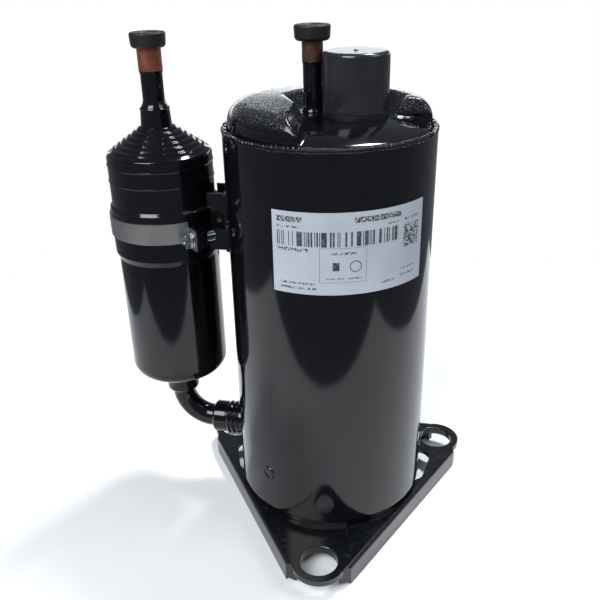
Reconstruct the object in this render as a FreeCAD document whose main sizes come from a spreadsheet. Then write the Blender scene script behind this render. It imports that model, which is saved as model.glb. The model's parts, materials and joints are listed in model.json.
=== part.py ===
"""Refrigeration rotary compressor with its suction accumulator, as separate pieces.

Millimetres, +Z up.  The origin is on the axis of the pressure shell, in the plane that the
feet of the base plate are fastened by, which is the underside of the plate.  The front foot
points along -Y and the accumulator stands at -X.
"""
import math
import os
import re

import FreeCAD
import Part
import Sketcher

doc = FreeCAD.newDocument("RotaryCompressor")
XY = "XY_Plane"
XZ = "XZ_Plane"

# --------------------------------------------------------------------------- driving sizes
DRIVING_SIZES = (
    # pressure shell
    ("shell_radius", 50.8, "outside of the 4 inch tube"),
    ("shell_wall", 2.8, ""),
    ("shell_low", 9.0, "lower end of the tube above the mounting plane"),
    ("head_room", 32.5, "between the windings and the end of the tube"),
    ("cap_wall", 3.0, ""),
    ("cap_skirt", 13.0, "length of each cap inside the tube"),
    ("bottom_depth", 15.0, "lowest point of the bottom cap below the tube"),
    ("bottom_corner", 8.0, ""),
    ("top_rise", 14.3, "crown of the top cap above the tube, at its centre"),
    ("top_edge_rise", 12.6, "height at which the crown would meet the side"),
    ("top_corner", 9.0, "radius between the crown and the side"),
    ("pad_rise", 5.5, "flat pad for the terminals above the tube"),
    ("pad_slope", 20.0, "width of the slope from the pad down to the front of the cap"),
    ("pad_slope_foot", 0.8, "lower edge of that slope above the tube"),
    ("bead_width", 2.6, ""),
    ("bead_rise", 1.1, ""),
    ("plug_weld_radius", 4.0, "welds that hold the pump in the shell"),
    ("plug_weld_angle", -125.3, ""),
    ("plug_weld_rise", 8.5, "above the underside of the pump's cylinder"),
    ("suction_port_radius", 6.5, "hole for the suction pipe in the shell and the pump"),
    # base plate
    ("plate_thickness", 3.0, ""),
    ("foot_reach", 22.0, "from the shell to the middle of a mounting hole"),
    ("foot_hole", 19.2, "hole for the rubber grommet"),
    ("foot_rim", 4.2, "sheet around a hole"),
    ("side_margin", 1.2, "from the shell to the flange of each side"),
    ("flange_drop", 8.5, "flange below the mounting plane"),
    ("flange_setback", 5.9, "end of the straight flange before the hole"),
    ("plate_clearance", 0.3, "plate around the bottom cap"),
    ("window_length", 30.0, "drain windows beside the shell"),
    ("window_width", 14.0, ""),
    # accumulator
    ("accumulator_gap", 8.3, "between the accumulator and the shell"),
    ("accumulator_angle", 175.4, ""),
    ("accumulator_radius", 26.2, ""),
    ("accumulator_wall", 1.2, ""),
    ("accumulator_low", 66.0, "underside of the bottom"),
    ("joint_drop", 64.5, "from the top of the tube to the lip of the accumulator's upper shell"),
    ("accumulator_lap", 24.0, "socket in which the lower shell sits"),
    ("shoulder_drop", 13.0, "from the top of the tube to the start of the cone"),
    ("cone_height", 11.5, ""),
    ("accumulator_corner", 8.0, ""),
    ("neck_radius", 7.6, ""),
    ("bushing_length", 9.0, ""),
    # tubes
    ("suction_radius", 5.3, ""),
    ("suction_end_radius", 5.75, "expanded end for a 9.52 mm pipe"),
    ("suction_bore", 9.65, "inside of the expanded end"),
    ("suction_rise", 36.5, "from the cone to the open end"),
    ("suction_bare", 10.5, "length without paint"),
    ("discharge_radius", 4.6, ""),
    ("discharge_end_radius", 4.95, "expanded end for a 7.94 mm pipe"),
    ("discharge_bore", 8.1, "inside of the expanded end"),
    ("discharge_rise", 31.9, "from the pad to the open end"),
    ("discharge_bare", 9.2, "length without paint"),
    ("tube_gap", 1.07, "between the discharge tube and the terminal cover"),
    ("tube_angle", 165.57, "of the discharge tube, seen from the terminals"),
    ("tube_wall", 0.9, ""),
    ("outlet_radius", 6.35, "half inch pipe below the accumulator"),
    ("outlet_bend", 18.0, ""),
    ("ferrule_radius", 9.0, ""),
    ("ferrule_gap", 0.3, "between the ferrule and the bend of the outlet pipe"),
    ("sleeve_gap", 0.3, "between the shell's sleeve and the bend of the outlet pipe"),
    ("plug_radius", 8.6, ""),
    ("plug_height", 7.0, ""),
    ("plug_stem", 8.8, "shorter than the expanded end of either tube"),
    ("plug_clearance", 0.06, "stem inside the tube"),
    # terminals
    ("cover_x", 12.1, ""),
    ("cover_y", 3.5, ""),
    ("cover_radius", 15.6, ""),
    ("cover_height", 26.6, ""),
    ("cover_wall", 1.6, ""),
    ("gasket_thickness", 1.4, ""),
    ("terminal_radius", 12.4, ""),
    ("pin_circle", 12.8, "circle through the three pins"),
    ("pin_radius", 1.6, ""),
    ("tab_width", 6.35, ""),
    # clamp of the accumulator
    ("band_drop", 54.5, "from the top of the tube to the lower edge of the band"),
    ("band_height", 10.4, ""),
    ("band_thickness", 0.9, ""),
    ("ear_length", 9.5, ""),
    ("ear_drop", 2.4, "ears below the band"),
    ("ear_angle", -46.0, "ears of the clamp, around the accumulator from the side of the shell"),
    ("band_hook_angle", 58.0, "rear end of the band"),
    ("bracket_drop", 8.0, "below the band"),
    ("bracket_height", 30.0, ""),
    ("bracket_thickness", 1.6, ""),
    ("bracket_foot", 23.05, "width of the bracket's foot along the shell"),
    ("clamp_screw_radius", 2.45, ""),
    ("screw_length", 13.0, ""),
    # name label
    ("label_drop", 26.0, "from the top of the tube to the label"),
    ("label_height", 38.5, ""),
    ("label_start", -115.0, ""),
    ("label_sweep", 85.0, ""),
    ("label_thickness", 0.15, ""),
    # pump
    ("bore_radius", 19.0, ""),
    ("cylinder_low", 22.5, ""),
    ("cylinder_height", 21.0, ""),
    ("eccentricity", 3.6, ""),
    ("eccentric_radius", 11.8, ""),
    ("shaft_radius", 8.0, ""),
    ("oil_bore_radius", 3.0, ""),
    ("running_gap", 0.03, "between the roller and what it runs on"),
    ("vane_angle", 143.0, ""),
    ("vane_thickness", 3.2, ""),
    ("spring_room", 7.2, "room behind the vane for its spring"),
    ("spring_wall", 1.8, "between the spring and the shell"),
    ("bearing_margin", 6.5, "between a bearing's flange and the shell"),
    ("main_flange", 9.0, ""),
    ("main_hub", 31.5, ""),
    ("hub_radius", 13.5, ""),
    ("sub_flange", 8.0, ""),
    ("sub_hub", 9.5, ""),
    ("muffler_margin", 5.2, "from the bolts to the muffler's side"),
    ("muffler_height", 14.0, ""),
    ("sheet", 1.2, ""),
    ("bolt_margin", 6.0, "from the bolts to the edge of a bearing's flange"),
    ("pump_bolt_radius", 2.5, ""),
    ("port_distance", 16.3, ""),
    ("port_radius", 2.6, ""),
    ("reed_length", 15.0, "from the hinge line to the middle of the port"),
    ("reed_width", 7.0, ""),
    ("port_angle", -24.0, "from the vane"),
    ("valve_depth", 3.0, "channel of the valve in the bearing"),
    ("reed_thickness", 0.4, ""),
    # motor
    ("hub_gap", 16.0, "between the bearing's hub and the stack"),
    ("stack_height", 50.0, ""),
    ("rotor_share", 0.5708, "radius of the rotor as a share of the inside of the shell"),
    ("air_gap", 0.4, ""),
    ("stator_clearance", 0.05, "stack inside the tube"),
    ("slot_count", 24, ""),
    ("slot_width", 4.2, ""),
    ("winding_height", 22.0, ""),
    ("ring_height", 7.0, "end rings of the rotor"),
)

# sizes that follow from the driving ones, each from the rows above it
FOLLOWING_SIZES = (
    ("bearing_radius", "shell_radius - shell_wall - bearing_margin"),
    ("bolt_circle", "(bearing_radius - bolt_margin) * 2"),
    ("muffler_radius", "bolt_circle / 2 - muffler_margin"),
    ("vane_length", "shell_radius - shell_wall - bore_radius - spring_room - spring_wall"),
    ("plug_weld_height", "cylinder_low + plug_weld_rise"),
    ("stack_low", "cylinder_low + cylinder_height + main_flange + main_hub + hub_gap"),
    ("rotor_radius", "(shell_radius - shell_wall) * rotor_share"),
    ("shell_top", "stack_low + stack_height + winding_height + head_room"),
    ("shell_length", "shell_top - shell_low"),
    ("side_distance", "shell_radius + side_margin"),
    ("foot_circle", "(shell_radius + foot_reach) * 2"),
    ("foot_lobe", "foot_hole / 2 + foot_rim"),
    ("accumulator_distance", "shell_radius + accumulator_gap + accumulator_radius + accumulator_wall + 0.1"),
    ("ferrule_length", "accumulator_low - cylinder_low - cylinder_height / 2 - outlet_bend - ferrule_gap"),
    ("sleeve_length", "accumulator_distance - shell_radius - outlet_bend - sleeve_gap"),
    ("accumulator_joint", "shell_top - joint_drop"),
    ("accumulator_shoulder", "shell_top - shoulder_drop"),
    ("accumulator_neck", "accumulator_shoulder + cone_height"),
    ("suction_top", "accumulator_neck + suction_rise"),
    ("suction_copper", "suction_top - suction_bare"),
    ("discharge_distance", "cover_radius + discharge_radius + tube_gap"),
    ("discharge_x", "cover_x + discharge_distance * cos(tube_angle * 1 deg)"),
    ("discharge_y", "cover_y + discharge_distance * sin(tube_angle * 1 deg)"),
    ("discharge_top", "shell_top + pad_rise + discharge_rise"),
    ("discharge_copper", "discharge_top - discharge_bare"),
    ("band_low", "shell_top - band_drop"),
    ("bracket_low", "band_low - bracket_drop"),
    ("bracket_foot_angle", "bracket_foot / shell_radius * 90 / pi"),
    ("bracket_weld_angle", "(bracket_foot + 5.3) / shell_radius * 90 / pi"),
    ("label_low", "shell_top - label_drop - label_height"),
)

sheet = doc.addObject("Spreadsheet::Sheet", "Sizes")
for row, (alias, value, note) in enumerate(DRIVING_SIZES, start=1):
    sheet.set(f"A{row}", alias)
    sheet.set(f"B{row}", str(value))
    sheet.setAlias(f"B{row}", alias)
    sheet.set(f"C{row}", note)
for row, (alias, formula) in enumerate(FOLLOWING_SIZES, start=len(DRIVING_SIZES) + 2):
    sheet.set(f"A{row}", alias)
    sheet.set(f"B{row}", "=" + formula)
    sheet.setAlias(f"B{row}", alias)
doc.recompute()

ALIASES = {entry[0] for entry in DRIVING_SIZES + FOLLOWING_SIZES}
nodes = []

# heights and places that several pieces share, as expressions of the driving sizes
SHELL_TOP = "shell_top"
SHELL_BORE = "(shell_radius - shell_wall)"
PAD = "(shell_top + pad_rise)"
SOCKET = "(accumulator_radius + 0.1 + accumulator_wall)"
CYLINDER_TOP = "(cylinder_low + cylinder_height)"
SUCTION_HEIGHT = "(cylinder_low + cylinder_height / 2)"
MAIN_TOP = "(cylinder_low + cylinder_height + main_flange)"
STACK_TOP = "(stack_low + stack_height)"
STATOR_BORE = "(rotor_radius + air_gap)"


def size(alias):
    """Value of one driving size."""
    return float(sheet.get(alias))


def expression(text):
    """Expression of the document for a sum of driving sizes."""
    def named(found):
        word = found.group()
        return "Sizes." + word if word in ALIASES else word
    return re.sub(r"[a-z_]+", named, text)


def bind(item, **sizes):
    """Tie properties to the sheet; a double underscore stands for a dot."""
    for path, text in sizes.items():
        item.setExpression(path.replace("__", "."), expression(str(text)))
    return item


def put(item, x="0", y="0", z="0", turn="0", axis=(0, 0, 1)):
    """Place an object, turned about an axis through its own origin."""
    item.Placement = FreeCAD.Placement(FreeCAD.Vector(), FreeCAD.Rotation(FreeCAD.Vector(*axis), 10))
    bind(item, Placement__Base__x=x, Placement__Base__y=y, Placement__Base__z=z,
         Placement__Rotation__Angle=f"({turn}) * 1 deg")
    return item


def around(item, distance, angle, z="0", spin="0"):
    """Place an object at a distance and angle from the shell's axis, facing away from it."""
    return put(item, f"({distance}) * cos(({angle}) * 1 deg)", f"({distance}) * sin(({angle}) * 1 deg)", z,
               f"{angle} + {spin}")


def by_accumulator(item, z="0", spin="0"):
    """Place an object on the accumulator's axis, its own +X towards the shell."""
    return around(item, "accumulator_distance", "accumulator_angle", z, f"180 + {spin}")


def cylinder(name, radius, height, **place):
    return put(bind(doc.addObject("Part::Cylinder", name), Radius=radius, Height=height), **place)


def box(name, length, width, height, x="0", y="0", z="0"):
    """A box placed by its lowest corner."""
    return put(bind(doc.addObject("Part::Box", name), Length=length, Width=width, Height=height), x, y, z)


def cut(name, base, *tools):
    result = base
    for number, tool in enumerate(tools):
        step = doc.addObject("Part::Cut", name if tool is tools[-1] else f"{name}_{number}")
        step.Base = result
        step.Tool = tool
        result = step
    return result


def fuse(name, *shapes):
    result = doc.addObject("Part::MultiFuse", name)
    result.Shapes = list(shapes)
    return result


def compound(name, *shapes):
    result = doc.addObject("Part::Compound", name)
    result.Links = list(shapes)
    return result


def node(label, item):
    """Keep an object as one piece of the assembly."""
    item.Label = label
    nodes.append(item)
    return item


def outline(body, plane, points, name):
    """A closed sketch of straight lines whose corners are bound to the sheet."""
    drawing = body.newObject("Sketcher::SketchObject", name)
    support = [feature for feature in body.Origin.OriginFeatures if feature.Role == plane][0]
    drawing.AttachmentSupport = (support, "")
    drawing.MapMode = "FlatFace"
    count = len(points)
    for number in range(count):
        angle = 2 * math.pi * number / count
        after = 2 * math.pi * (number + 1) / count
        start = FreeCAD.Vector(50 + 9 * math.cos(angle), 50 + 9 * math.sin(angle), 0)
        end = FreeCAD.Vector(50 + 9 * math.cos(after), 50 + 9 * math.sin(after), 0)
        drawing.addGeometry(Part.LineSegment(start, end), False)
    for number in range(count):
        drawing.addConstraint(Sketcher.Constraint("Coincident", number, 2, (number + 1) % count, 1))
    for number, (across, up) in enumerate(points):
        for kind, text in (("DistanceX", across), ("DistanceY", up)):
            place = drawing.addConstraint(Sketcher.Constraint(kind, -1, 1, number, 1, 50.0))
            drawing.setExpression(f"Constraints[{place}]", expression(f"({text}) * 1 mm"))
    return drawing


def turned_body(name, points, sweep="360"):
    """A body turned about its own Z axis from a half section of (radius, height) corners."""
    body = doc.addObject("PartDesign::Body", name)
    drawing = outline(body, XZ, points, name + "_section")
    doc.recompute()
    feature = body.newObject("PartDesign::Revolution", name + "_revolution")
    feature.Profile = drawing
    feature.ReferenceAxis = (drawing, ["V_Axis"])
    feature.Angle = 90
    bind(feature, Angle=f"({sweep}) * 1 deg")
    drawing.Visibility = False
    return body


def padded_body(name, points, height):
    """A body padded upwards from an outline of (x, y) corners."""
    body = doc.addObject("PartDesign::Body", name)
    drawing = outline(body, XY, points, name + "_outline")
    doc.recompute()
    feature = body.newObject("PartDesign::Pad", name + "_pad")
    feature.Profile = drawing
    feature.Length = 1
    bind(feature, Length=f"({height}) * 1 mm")
    return body


def round_edges(body, radius, wanted):
    """Round the edges of a body's last feature whose middle point passes the test."""
    doc.recompute()
    last = body.Tip
    names = []
    for number, edge in enumerate(last.Shape.Edges, start=1):
        middle = edge.valueAt((edge.FirstParameter + edge.LastParameter) / 2)
        if wanted(middle, edge):
            names.append(f"Edge{number}")
    feature = body.newObject("PartDesign::Fillet", f"{body.Name}_round_{len(body.Group)}")
    feature.Base = (last, names)
    feature.Radius = 0.1
    bind(feature, Radius=f"({radius}) * 1 mm")
    return feature


def at_height(height, radius=None):
    """A test for the circular edges at one height, and at one radius when it is given."""
    def wanted(middle, edge):
        level = abs(edge.BoundBox.ZMax - height) < 0.01 and abs(edge.BoundBox.ZMin - height) < 0.01
        return level and (radius is None or abs(math.hypot(middle.x, middle.y) - radius) < 0.05)
    return wanted


def rod_along(name, radius, length, x="0", y="0", z="0", axis=(0, 1, 0), turn="90"):
    """A rod that lies along +X of its frame, or along another axis when it is turned by that."""
    return put(bind(doc.addObject("Part::Cylinder", name), Radius=radius, Height=length), x, y, z, turn, axis)


def radial_rod(name, radius, start, length, angle, height):
    """A rod that points away from the shell's axis."""
    return around(compound(name, rod_along(name + "_rod", radius, length)), start, angle, height)


# --------------------------------------------------------------------------- pressure shell
def shell_tube():
    blank = turned_body("ShellBlank", [
        (SHELL_BORE, "shell_low"), ("shell_radius", "shell_low"),
        ("shell_radius", SHELL_TOP), (SHELL_BORE, SHELL_TOP)])
    hole = radial_rod("ShellSuctionHole", "suction_port_radius", "shell_radius - shell_wall * 2",
                      "shell_wall * 4", "accumulator_angle", SUCTION_HEIGHT)
    node("shell_tube", cut("ShellTube", blank, hole))


def bottom_cap():
    low = "(shell_low - bottom_depth)"
    inner = f"({SHELL_BORE} - cap_wall)"
    top = "(shell_low + cap_skirt - 2)"
    body = turned_body("BottomCap", [
        ("0", low), (SHELL_BORE, low), (SHELL_BORE, top),
        (inner, top), (inner, f"{low} + cap_wall"), ("0", f"{low} + cap_wall")])
    bottom = size("shell_low") - size("bottom_depth")
    bore = size("shell_radius") - size("shell_wall")
    round_edges(body, "bottom_corner", at_height(bottom, bore))
    round_edges(body, "bottom_corner - cap_wall", at_height(bottom + size("cap_wall"), bore - size("cap_wall")))
    node("bottom_cap", body)


SLOPE_STEPS = 4


def pad_slope_cutter():
    """What is above the curved slope from the pad's edge down to the seam, at the front of the cap."""
    left = f"asin((discharge_x - 1) / {SHELL_BORE}) / 1 deg"
    curve = []
    for step in range(SLOPE_STEPS + 1):
        share = step / SLOPE_STEPS
        curve.append((f"{SHELL_BORE} - pad_slope * {1 - share}",
                      f"{PAD} - (pad_rise - pad_slope_foot) * {share ** 2}"))
    outer = f"({SHELL_BORE} + 2)"
    cutter = turned_body("TopCapSlope", curve + [
        (outer, f"{SHELL_TOP} + pad_slope_foot"), (outer, f"{PAD} + 0.5"), (curve[0][0], f"{PAD} + 0.5")],
        sweep=f"88 - {left}")
    return put(cutter, turn=f"{left} - 90")


def top_cap():
    """A dome with a flat pad pressed into it, open to the front, for the terminals and the tube."""
    low = f"({SHELL_TOP} - cap_skirt)"
    dome = turned_body("TopCapDome", [
        ("0", low), (SHELL_BORE, low), (SHELL_BORE, f"{SHELL_TOP} + top_edge_rise"),
        ("0", f"{SHELL_TOP} + top_rise")])
    bore = size("shell_radius") - size("shell_wall")
    top = size("shell_top")
    round_edges(dome, "top_corner", at_height(top + size("top_edge_rise"), bore))
    pad = padded_body("TopCapPad", [
        ("discharge_x - 1", "-shell_radius - 10"), ("shell_radius + 10", "-shell_radius - 10"),
        ("shell_radius + 10", "0"), ("cover_x + cover_radius + 2", "cover_y - 8"),
        ("cover_x + cover_radius + 2.6", "cover_y + 4"),
        ("cover_x + 12", "cover_y + cover_radius - 1"), ("cover_x", "cover_y + cover_radius + 2"),
        ("discharge_x - 3", "discharge_y + 8"), ("discharge_x - 8", "discharge_y - 1"),
        ("discharge_x - 2", "-9")], "top_rise")
    pad.Tip.TaperAngle = 35
    put(pad, z=PAD)
    slope = pad_slope_cutter()
    inside = turned_body("TopCapInside", [
        ("0", f"{low} - 1"), (f"{SHELL_BORE} - cap_wall", f"{low} - 1"),
        (f"{SHELL_BORE} - cap_wall", f"{PAD} - cap_wall - 5"),
        (f"{SHELL_BORE} - pad_slope * 0.75", f"{PAD} - cap_wall"), ("0", f"{PAD} - cap_wall")])
    terminal_hole = cylinder("TopCapTerminalHole", "terminal_radius", "cap_wall * 4", x="cover_x", y="cover_y",
                             z=f"{PAD} - cap_wall * 2")
    tube_hole = cylinder("TopCapTubeHole", "discharge_radius", "cap_wall * 4", x="discharge_x", y="discharge_y",
                         z=f"{PAD} - cap_wall * 2")
    node("top_cap", cut("TopCap", dome, pad, slope, inside, terminal_hole, tube_hole))


def shell_beads():
    rise = f"({SHELL_TOP} + bead_rise)"
    upper = turned_body("TopWeldBead", [
        (SHELL_BORE, SHELL_TOP), ("shell_radius - 0.1", SHELL_TOP), ("shell_radius - 0.4", f"{SHELL_TOP} + 0.7"),
        (f"{SHELL_BORE} + bead_width * 0.6", rise), (SHELL_BORE, f"{SHELL_TOP} + bead_rise * 1.5")])
    node("top_weld_bead", upper)
    lower = turned_body("BottomWeldBead", [
        (SHELL_BORE, "shell_low"), (SHELL_BORE, "shell_low - 2.4"), (f"{SHELL_BORE} + 1.5", "shell_low - 1.8"),
        ("shell_radius - 0.2", "shell_low - 0.6"), ("shell_radius - 0.1", "shell_low")])
    node("bottom_weld_bead", lower)


def plug_welds():
    """Three plugs that weld the pump's cylinder to the shell, in holes of the tube."""
    spots = [radial_rod(f"PlugWeld{number}", "plug_weld_radius", "shell_radius - 0.02", "0.7",
                        f"plug_weld_angle + {120 * number}", "plug_weld_height") for number in range(3)]
    node("shell_plug_welds", compound("PlugWelds", *spots))


# --------------------------------------------------------------------------- base plate
FOOT_ANGLES = (-90, 30, 150)
SIDE_ANGLES = (-30, 90, 210)
HALF_SIDE = "(foot_circle / 2 * sin(60 deg) - flange_setback)"
RETURN_ANGLE = 38
RETURN_LENGTH = 6
SIDE_ROUNDING = 2.2
HOLE_ROUNDING = 0.5
LIP_WIDTH = 2
LIP_DROP = 1.5


def flange_side(number, angle):
    """The straight flange of one side and the short return at each of its ends."""
    low = "-flange_drop"
    height = "flange_drop + plate_thickness"
    thick = "plate_thickness"
    straight = box(f"Flange{number}", thick, f"{HALF_SIDE} * 2", height, f"side_distance - {thick}",
                   f"-{HALF_SIDE}", low)
    pieces = [straight]
    for sign in (1, -1):
        bend = f"{sign * RETURN_ANGLE} deg"
        piece = box(f"FlangeReturn{number}_{sign + 1}", thick, RETURN_LENGTH,
                    "flange_drop * 0.8 + plate_thickness")
        back = 0 if sign == 1 else RETURN_LENGTH
        put(piece, f"side_distance - {thick} * cos({bend}) + {back} * sin({bend})",
            f"{sign} * {HALF_SIDE} - {thick} * sin({bend}) - {back} * cos({bend})", "-flange_drop * 0.8",
            str(sign * RETURN_ANGLE))
        pieces.append(piece)
    return put(fuse(f"FlangeSide{number}", *pieces), turn=str(angle))


def drain_window(sign):
    middle = box(f"Window{sign + 1}", "window_width", "window_length - window_width", "plate_thickness * 3",
                 "-window_width / 2", "-(window_length - window_width) / 2", "-plate_thickness")
    ends = [cylinder(f"WindowEnd{sign + 1}_{end + 1}", "window_width / 2", "plate_thickness * 3",
                     y=f"{end} * (window_length - window_width) / 2", z="-plate_thickness") for end in (1, -1)]
    window = fuse(f"DrainWindow{sign + 1}", middle, *ends)
    return put(window, f"{sign} * (shell_radius - 1.3)", "8.5", turn=str(-15 * sign))


def base_plate():
    corners = []
    for angle in SIDE_ANGLES:
        across = f"{angle} deg"
        for sign in (-1, 1):
            corners.append((f"side_distance * cos({across}) - {sign} * {HALF_SIDE} * sin({across})",
                            f"side_distance * sin({across}) + {sign} * {HALF_SIDE} * cos({across})"))
    blank = padded_body("BasePlateBlank", corners, "plate_thickness")
    lobes = [around(cylinder(f"Lobe{angle}".replace("-", "m"), "foot_lobe", "plate_thickness"), "foot_circle / 2",
                    str(angle)) for angle in FOOT_ANGLES]
    lips = [around(cylinder(f"Lip{angle}".replace("-", "m"), f"foot_hole / 2 + {LIP_WIDTH}", f"{LIP_DROP} + 0.1"),
                   "foot_circle / 2", str(angle), f"-{LIP_DROP}") for angle in FOOT_ANGLES]
    sides = [flange_side(number, angle) for number, angle in enumerate(SIDE_ANGLES)]
    solid = fuse("BasePlateSolid", blank, *lobes, *lips, *sides)
    holes = [around(cylinder(f"Hole{angle}".replace("-", "m"), "foot_hole / 2", "plate_thickness * 4"),
                    "foot_circle / 2", str(angle), "-plate_thickness * 2") for angle in FOOT_ANGLES]
    middle = cylinder("PlateOpening", f"{SHELL_BORE} + plate_clearance", "plate_thickness * 4",
                      z="-plate_thickness * 2")
    plate = cut("BasePlateCut", solid, middle, *holes, drain_window(1), drain_window(-1))
    doc.recompute()
    top = size("plate_thickness")
    rounded = []
    for number, edge in enumerate(plate.Shape.Edges, start=1):
        middle_point = edge.valueAt((edge.FirstParameter + edge.LastParameter) / 2)
        level = abs(edge.BoundBox.ZMax - top) < 0.01 and abs(edge.BoundBox.ZMin - top) < 0.01
        straight = isinstance(edge.Curve, Part.Line) and edge.Length > size("foot_circle") * 0.5
        is_hole = isinstance(edge.Curve, Part.Circle) and abs(edge.Curve.Radius - size("foot_hole") / 2) < 0.01
        if level and straight:
            rounded.append((number, SIDE_ROUNDING, SIDE_ROUNDING))
        elif level and is_hole:
            rounded.append((number, HOLE_ROUNDING, HOLE_ROUNDING))
    finished = doc.addObject("Part::Fillet", "BasePlate")
    finished.Base = plate
    finished.Edges = rounded
    node("base_plate", finished)


def base_plate_welds():
    """Three fillet welds between the plate and the side of the bottom cap."""
    pieces = []
    for number, angle in enumerate(FOOT_ANGLES):
        weld = turned_body(f"PlateWeld{number}", [
            (f"{SHELL_BORE}", "plate_thickness"), (f"{SHELL_BORE} + 2.4", "plate_thickness"),
            (f"{SHELL_BORE} + 1", "plate_thickness + 1.4"), (SHELL_BORE, "plate_thickness + 2.2")], sweep="30")
        pieces.append(put(weld, turn=str(angle - 15)))
    node("base_plate_welds", compound("PlateWelds", *pieces))


# --------------------------------------------------------------------------- tubes on top
def straight_tube(label, x, y, radius, end_radius, end_bore, low, foot, fillet, copper, top):
    """A tube with a brazed foot, an expanded open end and its paint ending below it."""
    name = label.title().replace("_", "")
    swell = "1.5"
    painted = turned_body(name + "Painted", [
        (f"{radius} - tube_wall", low), (radius, low), (radius, foot), (f"{radius} + {fillet}", foot),
        (f"{radius} + {fillet * 0.4:.2f}", f"{foot} + {fillet * 1.1:.2f}"), (radius, f"{foot} + {fillet * 2.4:.2f}"),
        (radius, f"{copper} - {swell}"), (end_radius, copper), (f"{end_bore} / 2", copper),
        (f"{radius} - tube_wall", f"{copper} - {swell}")])
    put(painted, x, y)
    node(label, painted)
    bare = turned_body(name + "Bare", [
        (f"{end_bore} / 2", copper), (end_radius, copper), (end_radius, top), (f"{end_bore} / 2", top)])
    put(bare, x, y)
    node(label + "_end", bare)


ACCUMULATOR_X = "(accumulator_distance * cos(accumulator_angle * 1 deg))"
ACCUMULATOR_Y = "(accumulator_distance * sin(accumulator_angle * 1 deg))"


def tubes():
    straight_tube("discharge_tube", "discharge_x", "discharge_y", "discharge_radius", "discharge_end_radius",
                  "discharge_bore", f"{PAD} - cap_wall - 6", PAD, 0.9, "discharge_copper", "discharge_top")
    straight_tube("suction_tube", ACCUMULATOR_X, ACCUMULATOR_Y, "suction_radius", "suction_end_radius",
                  "suction_bore", "accumulator_neck - 6", "(accumulator_neck + bushing_length)", 1.4,
                  "suction_copper", "suction_top")


def tube_plugs():
    """Rubber plugs that keep the tubes clean until they are brazed in; each pulls straight out."""
    for label, x, y, bore, top in (
            ("discharge_plug", "discharge_x", "discharge_y", "discharge_bore", "discharge_top"),
            ("suction_plug", ACCUMULATOR_X, ACCUMULATOR_Y, "suction_bore", "suction_top")):
        stem = f"({bore} / 2 - plug_clearance)"
        low = f"({top} + 0.02)"
        body = turned_body(label.title().replace("_", ""), [
            ("0", f"{low} - plug_stem"), (f"{stem} - 0.8", f"{low} - plug_stem"), (stem, f"{low} - plug_stem + 1"),
            (stem, low), ("plug_radius - 1.2", low), ("plug_radius - 0.3", f"{low} + 1.2"),
            ("plug_radius", f"{low} + plug_height - 0.6"), ("plug_radius - 0.6", f"{low} + plug_height"),
            ("plug_radius * 0.55", f"{low} + plug_height"), ("plug_radius * 0.4", f"{low} + plug_height - 1.6"),
            ("0", f"{low} + plug_height - 1.6")])
        put(body, x, y)
        node(label, body)


# --------------------------------------------------------------------------- accumulator
CONE_RINGS = 6


def accumulator_shells():
    radius = "accumulator_radius"
    low = "accumulator_low"
    lap_top = "(accumulator_joint + accumulator_lap)"
    inner = "(accumulator_radius - accumulator_wall)"
    lower = turned_body("AccumulatorLower", [
        ("outlet_radius", low), (radius, low), (radius, f"{lap_top} - 0.5"), (inner, f"{lap_top} - 0.5"),
        (inner, f"{low} + accumulator_wall"), ("outlet_radius", f"{low} + accumulator_wall")])
    bottom = size("accumulator_low")
    wall = size("accumulator_wall")
    round_edges(lower, "accumulator_corner", at_height(bottom, size("accumulator_radius")))
    round_edges(lower, "accumulator_corner - accumulator_wall",
                at_height(bottom + wall, size("accumulator_radius") - wall))
    by_accumulator(lower)
    node("accumulator_lower_shell", lower)

    upper_radius = "(accumulator_radius + 0.1)"
    shoulder = "accumulator_shoulder"
    outside = [(upper_radius, "accumulator_joint"), (SOCKET, "accumulator_joint"), (SOCKET, lap_top),
               (upper_radius, f"{lap_top} + 1.5")]
    for back in (14, 6):
        outside += [(upper_radius, f"{shoulder} - {back} - 0.8"), (f"{upper_radius} + 0.4", f"{shoulder} - {back}"),
                    (upper_radius, f"{shoulder} - {back} + 0.8")]
    outside += [(upper_radius, f"{shoulder} - 2.5"), (f"{upper_radius} - 0.7", f"{shoulder} - 0.9"),
                (f"{upper_radius} - 2.2", shoulder)]
    foot = f"({upper_radius} - 2.2)"
    for ring in range(CONE_RINGS):
        for share, swell in ((ring + 0.5, 0.75), (ring + 1, 0)):
            part = share / CONE_RINGS
            outside.append((f"{foot} + (neck_radius - {foot}) * {part:.4f}",
                            f"{shoulder} + (accumulator_neck - {shoulder}) * {part:.4f} + {swell}"))
    inside = [("neck_radius", "accumulator_neck - accumulator_wall * 1.3"),
              (f"{foot} - 0.4", f"{shoulder} - accumulator_wall * 1.3"),
              (f"{upper_radius} - accumulator_wall", f"{shoulder} - 4"),
              (f"{upper_radius} - accumulator_wall", lap_top), (upper_radius, lap_top)]
    upper = turned_body("AccumulatorUpper", outside + inside)
    node("accumulator_upper_shell", by_accumulator(upper))

    weld = turned_body("AccumulatorWeld", [
        (radius, "accumulator_joint - 3"), (f"{radius} + 0.5", "accumulator_joint - 2.4"),
        (f"{SOCKET} - 0.1", "accumulator_joint"), (radius, "accumulator_joint")])
    node("accumulator_weld", by_accumulator(weld))


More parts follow.
